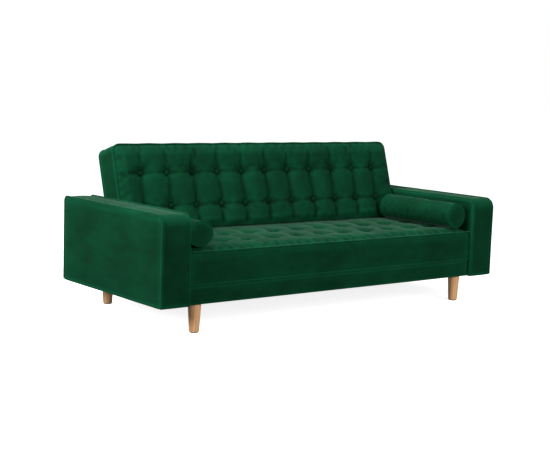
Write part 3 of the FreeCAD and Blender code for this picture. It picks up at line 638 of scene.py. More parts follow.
class Repeat:
    """A geometry-node tree with named inputs, used once on a piece and then turned into a plain mesh."""

    def __init__(self, name: str) -> None:
        """Args: name: the tree's name."""
        self.tree = bpy.data.node_groups.new(name, "GeometryNodeTree")
        self.tree.is_modifier = True
        self.ids: dict[str, str] = {}
        self.input("Geometry", "NodeSocketGeometry")
        self.tree.interface.new_socket("Geometry", in_out="OUTPUT", socket_type="NodeSocketGeometry")
        self.entry = self.tree.nodes.new("NodeGroupInput")

    def input(self, name: str, kind: str) -> None:
        """Adds a named input."""
        socket = self.tree.interface.new_socket(name, in_out="INPUT", socket_type=kind)
        self.ids[name] = socket.identifier

    def node(self, kind: str, settings: dict | None = None, inputs: dict | None = None) -> bpy.types.Node:
        """Adds a node. Returns: it."""
        node = self.tree.nodes.new(kind)
        for key, value in (settings or {}).items():
            setattr(node, key, value)
        for key, value in (inputs or {}).items():
            if isinstance(value, bpy.types.NodeSocket):
                self.tree.links.new(value, node.inputs[key])
            else:
                node.inputs[key].default_value = value
        return node

    def end(self, geometry: bpy.types.NodeSocket, material: bpy.types.NodeSocket) -> None:
        """Ends the tree with realised, smooth, painted geometry."""
        real = self.node("GeometryNodeRealizeInstances", {}, {0: geometry})
        smooth = self.node("GeometryNodeSetShadeSmooth", {}, {"Geometry": real.outputs[0]})
        painted = self.node(
            "GeometryNodeSetMaterial", {}, {"Geometry": smooth.outputs[0], "Material": material}
        )
        out = self.tree.nodes.new("NodeGroupOutput")
        self.tree.links.new(painted.outputs[0], out.inputs[0])

    def use(self, name: str, points: Array, edges: Sequence, **values: object) -> bpy.types.Object:
        """Makes a piece by running the tree over points and edges.

        Args:
            name: the piece's name.
            points: (n, 3) places.
            edges: pairs of points that are joined.
            values: the tree's named inputs, with _ for spaces; "facing" is stored on the points.

        Returns:
            The piece, as a plain mesh.
        """
        obj = new_object(name, points, [], edges)
        facing = values.pop("facing", None)
        if facing is not None:
            layer = obj.data.attributes.new("facing", "FLOAT_VECTOR", "POINT")
            layer.data.foreach_set("vector", np.asarray(facing, float).ravel())
        modifier = obj.modifiers.new("repeat", "NODES")
        modifier.node_group = self.tree
        for key, value in values.items():
            modifier[self.ids[key.replace("_", " ")]] = value
        apply_modifiers(obj)
        return obj


def piping_tree() -> Repeat:
    """A cord covered in cloth, swept along edges. Returns: the tree."""
    tree = Repeat("piping")
    for name, kind in (
        ("Radius", "NodeSocketFloat"), ("Waver", "NodeSocketFloat"), ("Material", "NodeSocketMaterial")
    ):
        tree.input(name, kind)
    entry = tree.entry
    curve = tree.node("GeometryNodeMeshToCurve", {}, {0: entry.outputs["Geometry"]})
    even = tree.node("GeometryNodeResampleCurve", {}, {"Curve": curve.outputs[0]})
    even.mode = "LENGTH"
    even.inputs["Length"].default_value = PIPING_STEP
    noise = tree.node("ShaderNodeTexNoise", {}, {"Scale": 16.0, "Detail": 2.0})
    centred = tree.node(
        "ShaderNodeVectorMath", {"operation": "SUBTRACT"}, {0: noise.outputs["Color"], 1: (0.5, 0.5, 0.5)}
    )
    moved = tree.node(
        "ShaderNodeVectorMath", {"operation": "SCALE"},
        {0: centred.outputs[0], "Scale": entry.outputs["Waver"]},
    )
    placed = tree.node(
        "GeometryNodeSetPosition", {}, {"Geometry": even.outputs[0], "Offset": moved.outputs[0]}
    )
    ring = tree.node(
        "GeometryNodeCurvePrimitiveCircle", {}, {"Resolution": 10, "Radius": entry.outputs["Radius"]}
    )
    swept = tree.node(
        "GeometryNodeCurveToMesh", {},
        {"Curve": placed.outputs[0], "Profile Curve": ring.outputs[0], "Fill Caps": True},
    )
    tree.end(swept.outputs[0], entry.outputs["Material"])
    return tree


def button_tree() -> Repeat:
    """Buttons set on points, each turned and sized a little differently. Returns: the tree."""
    tree = Repeat("buttons")
    for name, kind in (
        ("Button", "NodeSocketObject"), ("Seed", "NodeSocketInt"), ("Material", "NodeSocketMaterial")
    ):
        tree.input(name, kind)
    entry = tree.entry
    shape = tree.node("GeometryNodeObjectInfo", {}, {"Object": entry.outputs["Button"]})
    facing = tree.node(
        "GeometryNodeInputNamedAttribute", {"data_type": "FLOAT_VECTOR"}, {"Name": "facing"}
    )
    turn = tree.node(
        "FunctionNodeAlignRotationToVector", {"axis": "Z"}, {"Vector": facing.outputs[0]}
    )
    size = tree.node(
        "FunctionNodeRandomValue", {"data_type": "FLOAT"},
        {2: 0.96, 3: 1.04, "Seed": entry.outputs["Seed"]},
    )
    spin = tree.node(
        "FunctionNodeRandomValue", {"data_type": "FLOAT"},
        {2: 0.0, 3: 2 * math.pi, "Seed": entry.outputs["Seed"]},
    )
    about = tree.node("FunctionNodeAxisAngleToRotation", {}, {"Axis": (0, 0, 1), "Angle": spin.outputs[1]})
    turned = tree.node(
        "FunctionNodeRotateRotation", {"rotation_space": "LOCAL"},
        {"Rotation": turn.outputs[0], "Rotate By": about.outputs[0]},
    )
    set_on = tree.node(
        "GeometryNodeInstanceOnPoints", {},
        {"Points": entry.outputs["Geometry"], "Instance": shape.outputs["Geometry"],
         "Rotation": turned.outputs[0], "Scale": size.outputs[1]},
    )
    tree.end(set_on.outputs[0], entry.outputs["Material"])
    return tree


def stitch_tree() -> Repeat:
    """Thread stitches laid end to end along edges. Returns: the tree."""
    tree = Repeat("stitches")
    for name, kind in (
        ("Pitch", "NodeSocketFloat"), ("Stitch", "NodeSocketObject"), ("Material", "NodeSocketMaterial")
    ):
        tree.input(name, kind)
    entry = tree.entry
    curve = tree.node("GeometryNodeMeshToCurve", {}, {0: entry.outputs["Geometry"]})
    points = tree.node(
        "GeometryNodeCurveToPoints", {"mode": "LENGTH"},
        {"Curve": curve.outputs[0], "Length": entry.outputs["Pitch"]},
    )
    shape = tree.node("GeometryNodeObjectInfo", {}, {"Object": entry.outputs["Stitch"]})
    set_on = tree.node(
        "GeometryNodeInstanceOnPoints", {},
        {"Points": points.outputs["Points"], "Instance": shape.outputs["Geometry"],
         "Rotation": points.outputs["Rotation"]},
    )
    tree.end(set_on.outputs[0], entry.outputs["Material"])
    return tree


def revolve(name: str, profile: Sequence[tuple[float, float]], segments: int) -> bpy.types.Object:
    """Turns a profile of (radius, height) about the Z axis, closed at both ends. Returns: the piece."""
    angles = np.arange(segments) * 2 * math.pi / segments
    points = [(0.0, 0.0, profile[0][1])]
    for radius, height in profile:
        points.extend((radius * math.cos(a), radius * math.sin(a), height) for a in angles)
    points.append((0.0, 0.0, profile[-1][1]))
    faces = []
    last = len(points) - 1
    for k in range(segments):
        after = (k + 1) % segments
        faces.append((0, 1 + after, 1 + k))
        faces.append((last, last - segments + k, last - segments + after))
        for ring in range(len(profile) - 1):
            low, high = 1 + ring * segments, 1 + (ring + 1) * segments
            faces.append((low + k, low + after, high + after, high + k))
    return new_object(name, np.array(points), faces)


class Workshop:
    """The finishes, repeat trees and small shared shapes that every sub-assembly uses."""

    def __init__(self) -> None:
        """Builds the trees and the button and stitch that they repeat."""
        self.finish = Finishes()
        self.piping_cords = piping_tree()
        self.buttons = button_tree()
        self.stitches = stitch_tree()
        self.button = self._button()
        self.stitch = self._stitch()

    @staticmethod
    def _keep_out(obj: bpy.types.Object) -> bpy.types.Object:
        """Hides a pattern that is only repeated, never shown itself."""
        obj.hide_render = True
        obj.hide_viewport = True
        return obj

    def _button(self) -> bpy.types.Object:
        """A covered button: a low dome with gathered cloth under its rim."""
        profile = [
            (7.0, 0.0), (10.6, 0.4), (12.0, 1.6), (12.3, 3.0), (11.7, 4.6), (10.2, 6.1), (8.0, 7.2),
            (5.4, 7.9), (2.7, 8.3), (0.6, 8.4),
        ]
        obj = revolve("button_pattern", [(r * MM, z * MM) for r, z in profile], 32)
        return self._keep_out(obj)

    def _stitch(self) -> bpy.types.Object:
        """One thread stitch: a short bar that swells in the middle, lying along Z."""
        profile = [(0.25, -2.4), (0.5, -1.8), (0.62, 0.0), (0.5, 1.8), (0.25, 2.4)]
        return self._keep_out(revolve("stitch_pattern", [(r * MM, z * MM) for r, z in profile], 6))

    def pipe(
        self, name: str, body: str, paths: Sequence[Array], radius: float = 4.2 * MM
    ) -> bpy.types.Object:
        """Lays piping along paths of points. Returns: the piece."""
        points, edges = joined(paths)
        obj = self.piping_cords.use(
            name, points, edges, Radius=radius, Waver=1.6 * MM, Material=self.finish(Finish.PIPING)
        )
        return dress(obj, body, "velvet", self.finish(Finish.PIPING))

    def sew(self, name: str, body: str, paths: Sequence[Array]) -> bpy.types.Object:
        """Lays stitches along paths of points. Returns: the piece."""
        points, edges = joined(paths)
        obj = self.stitches.use(
            name, points, edges, Pitch=6.5 * MM, Stitch=self.stitch, Material=self.finish(Finish.BUTTON)
        )
        return dress(obj, body, "velvet", self.finish(Finish.BUTTON))


def joined(paths: Sequence[Array]) -> tuple[Array, list]:
    """Several paths as one set of points and the edges along them."""
    points, edges, start = [], [], 0
    for path in paths:
        points.append(path)
        edges += [(start + k, start + k + 1) for k in range(len(path) - 1)]
        start += len(path)
    return np.concatenate(points), edges


def refine(values: Array, faces: Sequence, smooth: bool) -> tuple[Array, list]:
    """Splits every face in four.

    Args:
        values: (n, 3) values, one to a vertex.
        faces: the vertices of each face.
        smooth: whether the values are smoothed as a surface would be.

    Returns:
        The values and faces of the finer mesh, always in the same order for the same faces.
    """
    obj = new_object("refined", values, faces)
    modifier = obj.modifiers.new("split", "SUBSURF")
    modifier.subdivision_type = "CATMULL_CLARK" if smooth else "SIMPLE"
    modifier.levels = modifier.render_levels = 1
    apply_modifiers(obj)
    result = coordinates(obj.data)
    split = [tuple(p.vertices) for p in obj.data.polygons]
    mesh = obj.data
    bpy.data.objects.remove(obj)
    bpy.data.meshes.remove(mesh)
    return result, split


# ---------------------------------------------------------------- covers


def knots(at: Array, stops: Sequence[float], cells: Sequence[int]) -> Array:
    """Places from 0 to 1 spread over stops, with a number of cells between each pair."""
    total = np.concatenate([[0], np.cumsum(cells)]) / sum(cells)
    return np.interp(at, total, stops)


def swell(distance: Array, run: float) -> Array:
    """How far a stuffed face has risen, 0 to 1, at a distance from its seam."""
    return np.sin(np.clip(distance / run, 0.0, 1.0) * math.pi / 2)


def round_corner(u: Array, v: Array, corner: tuple[float, float], radius: float) -> tuple[Array, Array]:
    """Rounds one corner of a flat outline.

    Args:
        u, v: the places in the plane, about a centre at 0.
        corner: where the square corner is.
        radius: the rounding's radius.

    Returns:
        The places, moved where they lie in the corner.
    """
    sign_u, sign_v = np.sign(corner[0]), np.sign(corner[1])
    p = (u * sign_u - (abs(corner[0]) - radius)) / radius
    q = (v * sign_v - (abs(corner[1]) - radius)) / radius
    inside = (p > 0) & (q > 0)
    p_safe, q_safe = np.clip(p, 0, 1), np.clip(q, 0, 1)
    round_p = p_safe * np.sqrt(1 - q_safe**2 / 2)
    round_q = q_safe * np.sqrt(1 - p_safe**2 / 2)
    new_u = sign_u * (abs(corner[0]) - radius + round_p * radius)
    new_v = sign_v * (abs(corner[1]) - radius + round_q * radius)
    return np.where(inside, new_u, u), np.where(inside, new_v, v)


@dataclass(frozen=True)
class Tufting:
    """Buttons in rows and columns, and the folds that they pull into a cover. All in metres."""

    rows: tuple[float, ...]
    pleat_at: tuple[float, ...]
    pleat_deep: tuple[float, ...]
    crease: float
    depth: float = 19.0 * MM
    spread: float = 15.0 * MM
    pucker: float = 1.1 * MM
    soft: float = 6.0 * MM
    pitch: float = 152.0 * MM
    columns: int = 11
    seed: int = 5

    @property
    def column_places(self) -> Array:
        """Where the columns stand along the width."""
        return (np.arange(self.columns) - (self.columns - 1) / 2) * self.pitch

    def buttons(self) -> Array:
        """Returns: every button's (x, row) place."""
        return np.array([(x, row) for row in self.rows for x in self.column_places])

    def pull(self, x: Array, s: Array) -> Array:
        """How far the cover is pulled in at each place."""
        flat = np.stack([x, s, np.zeros_like(x)], axis=1)
        wander = 3.5 * MM * Ripple(self.seed, 0.22).at(flat)
        near_row = np.min([np.abs(s - row) for row in self.rows], axis=0)
        x_folds = x + wander * ease(near_row / (40 * MM))
        across = np.min([np.abs(x_folds - c) for c in self.column_places], axis=0)
        share = np.clip((np.hypot(across, self.soft) - self.soft) / (self.pitch / 2 - self.soft), 0, 1)
        deep = np.interp(s, self.pleat_at, self.pleat_deep)
        pleat = deep * (1 - share) ** 1.9
        along = np.exp(-near_row / (15 * MM)) * (0.35 + 0.65 * (1 - share) ** 1.5)
        crease = self.crease * np.where(across <= self.pitch / 2, along, along * 0.3)
        reach = [
            np.hypot(x - bx, s - row) for bx, row in self.buttons()
        ]
        nearest = np.argmin(reach, axis=0)
        centres = self.buttons()[nearest]
        away = np.min(reach, axis=0)
        grip = np.exp(-np.clip(away - 7 * MM, 0, None) / self.spread)
        turn = np.arctan2(s - centres[:, 1], x - centres[:, 0])
        random = np.random.default_rng(self.seed)
        phase = random.uniform(0, 2 * math.pi, len(reach))[nearest]
        pucker = self.pucker * np.cos(6 * turn + phase) * np.exp(-((away - 20 * MM) / (11 * MM)) ** 2)
        folds = pleat + crease
        return folds + (self.depth - folds) * grip + pucker

    def sewn(self, x: Array, s: Array) -> Array:
        """How firmly each place is sewn down by a button, 0 to 1."""
        reach = np.min([np.hypot(x - bx, s - row) for bx, row in self.buttons()], axis=0)
        return (reach < 15 * MM).astype(float)


class Cover:
    """A stuffed cover shaped from a box of cells. Sub-classes say its shape and where it is sewn."""

    name = ""
    cells = (1, 1, 1)
    pressure = 4.0
    cap = 10.0 * MM
    slack = 0.02

    def shape(self, at: Array) -> Array:
        """Args: at: (n, 3) places in the box, 0 to 1. Returns: where they are, in metres."""
        raise NotImplementedError

    def held(self, at: Array) -> Array:
        """How firmly each place is sewn down, 0 to 1."""
        raise NotImplementedError

    def path(self, *corners: Sequence[float], steps: int = 120) -> Array:
        """A path over the cover between corners of the box. Returns: its points."""
        legs = [np.linspace(a, b, steps) for a, b in zip(corners, corners[1:])]
        at = np.concatenate([legs[0]] + [leg[1:] for leg in legs[1:]])
        return self.shape(at.astype(float))

    def make(self) -> bpy.types.Object:
        """Shapes the cover, lets it settle and splits it finer. Returns: the piece."""
        skin = Skin(self.cells)
        coarse = skin.mesh(self.name, self.shape(skin.places))
        start = coordinates(coarse.data)
        inflate(coarse, self.held(skin.places), self.pressure, self.cap, self.slack)
        shift = coordinates(coarse.data) - start
        mesh = coarse.data
        bpy.data.objects.remove(coarse)
        bpy.data.meshes.remove(mesh)
        fine_places, faces = refine(skin.places, skin.faces, smooth=False)
        fine_shift, _ = refine(shift, skin.faces, smooth=True)
        made = new_object(self.name, self.shape(fine_places) + fine_shift, faces)
        mark_folds_for_shading(made)
        return made


@dataclass(frozen=True)
class SeatSizes:
    """The seat cushion, in metres."""

    half: float = 0.895
    front: float = -0.420
    bottom: float = 0.216
    edge: float = 0.366
    crown: float = 0.388
    run: float = 0.060
    end_rise: float = 0.03
    foot: float = 0.119
    pivot_y: float = 0.153
    pivot_z: float = 0.348
    nose: float = 0.0409
    tufting: Tufting = Tufting(
        rows=(-0.250, -0.065),
        pleat_at=(-0.420, -0.380, -0.250, -0.065, 0.060, 0.130),
        pleat_deep=(0.0, 0.0020, 0.0040, 0.0040, 0.0030, 0.0),
        crease=0.0030,
    )


class SeatCover(Cover):
    """The seat's cover: a flat boxed front, a crowned tufted top and a round nose at the rear."""

    name = "seat_upholstery"
    cells = (142, 47, 12)
    cap = 2.6 * MM

    def __init__(self, sizes: SeatSizes) -> None:
        """Args: sizes: the seat's sizes."""
        self.sizes = sizes

    def _rear(self, c: Array) -> Array:
        """The rear outline from the foot up round the nose, by the share of its length."""
        s = self.sizes
        angles = np.radians(np.linspace(-60, 90, 24))
        arc = np.stack([s.pivot_y + s.nose * np.cos(angles), s.pivot_z + s.nose * np.sin(angles)], axis=1)
        line = np.concatenate([[[s.foot, s.bottom]], arc])
        length = np.concatenate([[0], np.cumsum(np.linalg.norm(np.diff(line, axis=0), axis=1))])
        share = length / length[-1]
        return np.stack([np.interp(c, share, line[:, 0]), np.interp(c, share, line[:, 1])], axis=1)

    def _top(self, b: Array) -> Array:
        """The top outline from the front seam to the top of the nose."""
        s = self.sizes
        y = knots(b, (s.front, *s.tufting.rows, s.pivot_y), (14, 15, 18))
        z = s.edge + (s.crown - s.edge) * swell(y - s.front, s.run)
        return np.stack([y, z - 2 * MM * ease((y - s.pivot_y + s.run) / s.run)], axis=1)

    def shape(self, at: Array) -> Array:
        """Args: at: places in the box. Returns: where they are."""
        s = self.sizes
        a, b, c = at.T
        columns = s.tufting.column_places
        x = knots(a, (-s.half, *columns, s.half), (11, *[12] * (len(columns) - 1), 11))
        ones = np.ones_like(b)
        bottom = np.stack([s.front + (s.foot - s.front) * b, s.bottom * ones], axis=1)
        front = np.stack([s.front * ones, s.bottom + (s.edge - s.bottom) * c], axis=1)
        top, rear = self._top(b), self._rear(c)
        corner = {(i, j): (self._rear(j * ones) if i else np.stack(
            [s.front * ones, (s.edge if j else s.bottom) * ones], axis=1)) for i in (0, 1) for j in (0, 1)}
        wb, wc = b[:, None], c[:, None]
        yz = (
            (1 - wc) * bottom + wc * top + (1 - wb) * front + wb * rear
            - (1 - wb) * (1 - wc) * corner[0, 0] - wb * (1 - wc) * corner[1, 0]
            - (1 - wb) * wc * corner[0, 1] - wb * wc * corner[1, 1]
        )
        y, z = yz[:, 0], yz[:, 1]
        from_end = s.half - np.abs(x)
        # The crown keeps a little height at the ends, where faces without area would leave an open seam.
        kept = np.maximum(swell(from_end, s.run), s.end_rise)
        z = np.where(z > s.edge, s.edge + (z - s.edge) * kept, z)
        on_top = c > 1 - 1e-6
        inset = swell(from_end, 30 * MM) * swell(y - s.front, 26 * MM)
        z = z - np.where(on_top, s.tufting.pull(x, y) * inset * (1 - ease((y - 0.118) / 0.03)), 0.0)
        flat = np.stack([x, y, z], axis=1)
        lumps = 1.3 * MM * Ripple(11, 0.16).at(flat) + 0.5 * MM * Ripple(12, 0.05).at(flat)
        z = z + np.where(on_top, lumps * inset, 0.0)
        on_front = b < 1e-6
        bow = 5.0 * MM * swell(np.minimum(c, 1 - c), 0.22) * swell(from_end, 30 * MM)
        ruck = 0.9 * MM * Ripple(13, 0.11).at(flat * (0.6, 1, 1.4)) * np.sin(math.pi * np.clip(c, 0, 1))
        y = y - np.where(on_front, bow + ruck, 0.0)
        return np.stack([x, y, z], axis=1)

    def held(self, at: Array) -> Array:
        """How firmly each place is sewn down."""
        s = self.sizes
        x, y, _ = self.shape(at).T
        c = at[:, 2]
        loose = (c > 1 - 1e-6) & (s.half - np.abs(x) > 12 * MM) & (y > s.front + 8 * MM) & (y < 0.100)
        sewn = np.where(loose, s.tufting.sewn(x, y), 1.0)
        return sewn


@dataclass(frozen=True)
class BackSizes:
    """The back cushion lying flat, measured from the hinge pin, in metres."""

    half: float = 0.894
    start: float = 0.042
    end: float = 0.470
    rear: float = -0.1105
    edge: float = 0.020
    crown: float = 0.040
    run: float = 0.060
    corner: float = 0.036
    lip: float = 0.019
    pivot_y: float = 0.153
    pivot_z: float = 0.348
    upright: float = 73.0
    tufting: Tufting = Tufting(
        rows=(0.156, 0.322),
        pleat_at=(0.042, 0.070, 0.156, 0.322, 0.362, 0.420, 0.470),
        pleat_deep=(0.0045, 0.0105, 0.0130, 0.0125, 0.0032, 0.0007, 0.0),
        crease=0.0045,
        seed=8,
    )

    def stand(self, flat: Array) -> Array:
        """Args: flat: (n, 3) places lying flat, from the pin. Returns: them standing at rest."""
        turn = math.radians(self.upright)
        x, d, h = flat.T
        y = self.pivot_y + d * math.cos(turn) - h * math.sin(turn)
        z = self.pivot_z + d * math.sin(turn) + h * math.cos(turn)
        return np.stack([x, y, z], axis=1)


class BackCover(Cover):
    """The back's cover, with deep vertical channels between its buttons."""

    name = "back_upholstery"
    cells = (142, 34, 10)
    cap = 2.8 * MM

    def __init__(self, sizes: BackSizes) -> None:
        """Args: sizes: the back's sizes."""
        self.sizes = sizes

    def flat(self, at: Array) -> Array:
        """The cover's places lying flat, measured from the pin."""
        s = self.sizes
        a, b, c = at.T
        columns = s.tufting.column_places
        x0 = knots(a, (-s.half, *columns, s.half), (11, *[12] * (len(columns) - 1), 11))
        d0 = knots(b, (s.start, *s.tufting.rows, s.end), (9, 13, 12))
        middle = (s.start + s.end) / 2
        reach = s.end - middle
        x, d = round_corner(x0, d0 - middle, (s.half, reach), s.corner)
        x, d = round_corner(x, d, (-s.half, reach), s.corner)
        d = d + middle
        from_end = s.half - np.abs(x0)
        from_top, from_foot = s.end - d0, d0 - s.start
        rise = swell(from_end, s.run) * swell(from_top, s.run) * swell(from_foot, s.run * 0.7)
        on_face = c > 1 - 1e-6
        h = s.rear + (s.edge - s.rear) * c
        h = h + np.where(on_face, (s.crown - s.edge) * rise, 0.0)
        inset = swell(from_end, 26 * MM) * (0.35 + 0.65 * swell(from_top, 34 * MM))
        inset = inset * (0.35 + 0.65 * swell(from_foot, 24 * MM))
        h = h - np.where(on_face, s.tufting.pull(x, d) * inset, 0.0)
        flat = np.stack([x, d, h], axis=1)
        lumps = 1.4 * MM * Ripple(21, 0.19).at(flat) + 0.3 * MM * Ripple(22, 0.06).at(flat)
        seam = np.minimum(np.minimum(from_end, from_top), from_foot)
        h = h + np.where(on_face, lumps * rise - 2.2 * MM * np.exp(-(((seam - 5 * MM) / (5 * MM)) ** 2)), 0.0)
        on_top = (b > 1 - 1e-6).astype(float)
        from_column = np.min([np.abs(x - k) for k in columns], axis=0)
        tuck = np.interp(from_column, (0, 0.03, 0.076), (-1.2, -0.3, 0.9))
        wave = tuck * MM * swell(from_end, 120 * MM) * (0.5 + 0.5 * c)
        belly = 2.5 * MM * np.sin(math.pi * np.clip(c, 0, 1))
        d = d + on_top * (wave + belly)
        # The lower rear edge hangs behind the seat's nose, so that nothing shows between the two.
        d = d - s.lip * (1 - ease(from_foot / (20 * MM))) * ease((0.45 - c) / 0.35)
        return np.stack([x, d, h], axis=1)

    def shape(self, at: Array) -> Array:
        """Args: at: places in the box. Returns: where they stand at rest."""
        return self.sizes.stand(self.flat(at))

    def held(self, at: Array) -> Array:
        """How firmly each place is sewn down."""
        s = self.sizes
        x, d, _ = self.flat(at).T
        _, _, c = at.T
        inside = (s.half - np.abs(x) > 12 * MM) & (s.end - d > 12 * MM) & (d - s.start > 14 * MM)
        return np.where((c > 1 - 1e-6) & inside, s.tufting.sewn(x, d), 1.0)


@dataclass(frozen=True)
class ArmSizes:
    """One arm, in metres."""

    inner: float = 0.900
    outer: float = 1.050
    front: float = -0.440
    rear: float = 0.440
    bottom: float = 0.132
    top: float = 0.540
    front_corner: float = 0.045
    rear_corner: float = 0.020


class ArmCover(Cover):
    """A track arm's cover: two flat side panels joined by a boxing strip over the front, top and rear."""

    cells = (12, 62, 30)
    cap = 2.5 * MM
    pressure = 3.0
    slack = 0.0

    def __init__(self, side: int, sizes: ArmSizes) -> None:
        """Args: side: -1 for the left and 1 for the right. sizes: the arm's sizes."""
        self.side = side
        self.sizes = sizes
        self.name = f"{'left' if side < 0 else 'right'}_arm_upholstery"

    def shape(self, at: Array) -> Array:
        """Args: at: places in the box. Returns: where they are."""
        s = self.sizes
        a, b, c = at.T
        lo, hi = sorted((self.side * s.inner, self.side * s.outer))
        x0 = lo + (hi - lo) * a
        mid_y, mid_z = (s.front + s.rear) / 2, (s.bottom + s.top) / 2
        v = s.front + (s.rear - s.front) * b - mid_y
        w = s.bottom + (s.top - s.bottom) * c - mid_z
        y, z = round_corner(v, w, (s.front - mid_y, s.top - mid_z), s.front_corner)
        y, z = round_corner(y, z, (s.rear - mid_y, s.top - mid_z), s.rear_corner)
        y, z = y + mid_y, z + mid_z
        along = np.minimum(y - s.front, s.rear - y)
        from_seam = np.minimum(along, np.minimum(s.top - z, z - s.bottom + 0.02))
        flat = np.stack([x0, y, z], axis=1)
        panel = 0.55 * swell(from_seam, 0.03) + 0.45 * swell(from_seam, 0.14)
        panel = panel - 0.6 * np.exp(-(((from_seam - 7 * MM) / (6 * MM)) ** 2))
        bow = (4.2 * MM + 0.9 * MM * Ripple(31, 0.26).at(flat)) * panel
        on_low, on_high = a < 1e-6, a > 1 - 1e-6
        inward = np.where(self.side > 0, on_low, on_high)
        bow = np.where(inward, bow * 0.1, bow)
        x = x0 + np.where(on_high, bow, 0.0) - np.where(on_low, bow, 0.0)
        across = np.sin(math.pi * np.clip(a, 0, 1))
        strip = (2.8 * MM + 0.7 * MM * Ripple(32, 0.12).at(flat)) * across
        z = z + np.where(c > 1 - 1e-6, strip * np.clip((b - 0.0) / 0.04, 0, 1), 0.0)
        y = y - np.where(b < 1e-6, strip * np.clip((1 - c) / 0.1, 0, 1), 0.0)
        y = y + np.where(b > 1 - 1e-6, strip * 0.6, 0.0)
        return np.stack([x, y, z], axis=1)

    def held(self, at: Array) -> Array:
        """How firmly each place is sewn down."""
        a, b, c = at.T
        seams = sum(((v < 0.02) | (v > 0.98)).astype(int) for v in (a, b, c)) > 1
        inward = (a < 1e-6) if self.side > 0 else (a > 1 - 1e-6)
        return np.where(seams | inward | (c < 1e-6), 1.0, 0.25)


@dataclass(frozen=True)
class Roll:
    """A bolster, in metres."""

    x: float
    z: float = 0.4564
    radius: float = 0.068
    front: float = -0.409
    rear: float = 0.117
    slump: float = 0.0


class RollCover(Cover):
    """A round bolster's cover, with flat piped ends."""

    cells = (14, 44, 14)
    cap = 1.3 * MM
    pressure = 3.0
    slack = 0.01

    def __init__(self, side: int, roll: Roll) -> None:
        """Args: side: -1 for the left and 1 for the right. roll: its sizes."""
        self.side = side
        self.roll = roll
        self.name = f"{'left' if side < 0 else 'right'}_bolster_upholstery"

    def shape(self, at: Array) -> Array:
        """Args: at: places in the box. Returns: where they are."""
        r = self.roll
        p, q = at[:, 0] * 2 - 1, at[:, 2] * 2 - 1
        reach = np.maximum(np.abs(p), np.abs(q))
        wide = np.abs(p) >= np.abs(q)
        safe_p = np.where(np.abs(p) < 1e-9, 1e-9, p)
        safe_q = np.where(np.abs(q) < 1e-9, 1e-9, q)
        angle = np.where(
            wide, math.pi / 4 * q / safe_p + np.where(p < 0, math.pi, 0),
            math.pi / 2 - math.pi / 4 * p / safe_q + np.where(q < 0, math.pi, 0),
        )
        b = at[:, 1]
        y = r.front + 5 * MM + (r.rear - r.front - 10 * MM) * b
        axis = np.stack([np.cos(angle), y / 0.068 * 0.5, np.sin(angle)], axis=1) * 0.068
        skin = reach > 1 - 1e-6
        waist = 1.2 * MM * (1 - np.sin(math.pi * np.clip(b, 0, 1)) ** 0.5)
        ruck = 0.5 * MM * Ripple(41 + self.side, 0.07).at(axis) * np.sin(math.pi * np.clip(b, 0, 1))
        radius = reach * (r.radius - 1.8 * MM) + np.where(skin, ruck - waist, 0.0)
        dome = 5.0 * MM * swell(1 - reach, 0.45) - 2.0 * MM * np.exp(-(((1 - reach) / 0.07) ** 2))
        y = y + np.where(b < 1e-6, -dome, 0.0) + np.where(b > 1 - 1e-6, dome, 0.0)
        foot = r.z - r.radius
        z = foot + (r.z - foot + radius * np.sin(angle)) * (1 - r.slump)
        return np.stack([r.x + radius * np.cos(angle), y, z], axis=1)

    def held(self, at: Array) -> Array:
        """How firmly each place is sewn down."""
        b = at[:, 1]
        ends = (b < 0.03) | (b > 0.97)
        under = at[:, 2] < 1e-6
        return np.where(ends | under, 1.0, 0.15)

    def rings(self) -> list[Array]:
        """The seams round both ends."""
        corners = ((0, 0), (1, 0), (1, 1), (0, 1), (0, 0))
        return [self.path(*[(u, b, w) for u, w in corners], steps=24) for b in (0.0, 1.0)]


class SlabCover(Cover):
    """A thin padded panel wrapped over a board."""

    pressure = 2.0
    cap = 2.0 * MM
    slack = 0.01

    def __init__(
        self, name: str, low: Sequence[float], high: Sequence[float], cells: tuple[int, int, int],
        bow: float, place: Callable[[Array], Array] = lambda flat: flat, corner: float = 0.0,
    ) -> None:
        """Lays a panel out.

        Args:
            name: the piece's name.
            low, high: its corners, in metres.
            cells: how finely it is split.
            bow: how far its face swells; the sign says which way.
            place: what puts it where it belongs.
            corner: the radius of its two corners at the high end of Y.
        """
        self.name = name
        self.low, self.high = np.array(low, float), np.array(high, float)
        self.cells, self.bow, self.place, self.corner = cells, bow, place, corner
        self.thin = int(np.argmin(self.high - self.low))

    def shape(self, at: Array) -> Array:
        """Args: at: places in the box. Returns: where they are."""
        points = self.low + at * (self.high - self.low)
        if self.corner:
            middle = (self.low + self.high) / 2
            reach = (self.high - self.low) / 2
            x, y = points[:, 0] - middle[0], points[:, 1] - middle[1]
            for sign in (-1, 1):
                x, y = round_corner(x, y, (sign * reach[0], reach[1]), self.corner)
            points[:, 0], points[:, 1] = x + middle[0], y + middle[1]
        wide = [k for k in range(3) if k != self.thin]
        sides = [np.minimum(points[:, k] - self.low[k], self.high[k] - points[:, k]) for k in wide]
        room = np.min(sides, axis=0)
        face = at[:, self.thin] > 0.5 if self.bow > 0 else at[:, self.thin] < 0.5
        lumps = 1 + 0.3 * Ripple(51, 0.2).at(points)
        points[:, self.thin] += np.where(face, self.bow * lumps * swell(room, 0.03), 0.0)
        return self.place(points)

    def held(self, at: Array) -> Array:
        """How firmly each place is sewn down."""
        return np.ones(len(at))


# ---------------------------------------------------------------- sub-assemblies


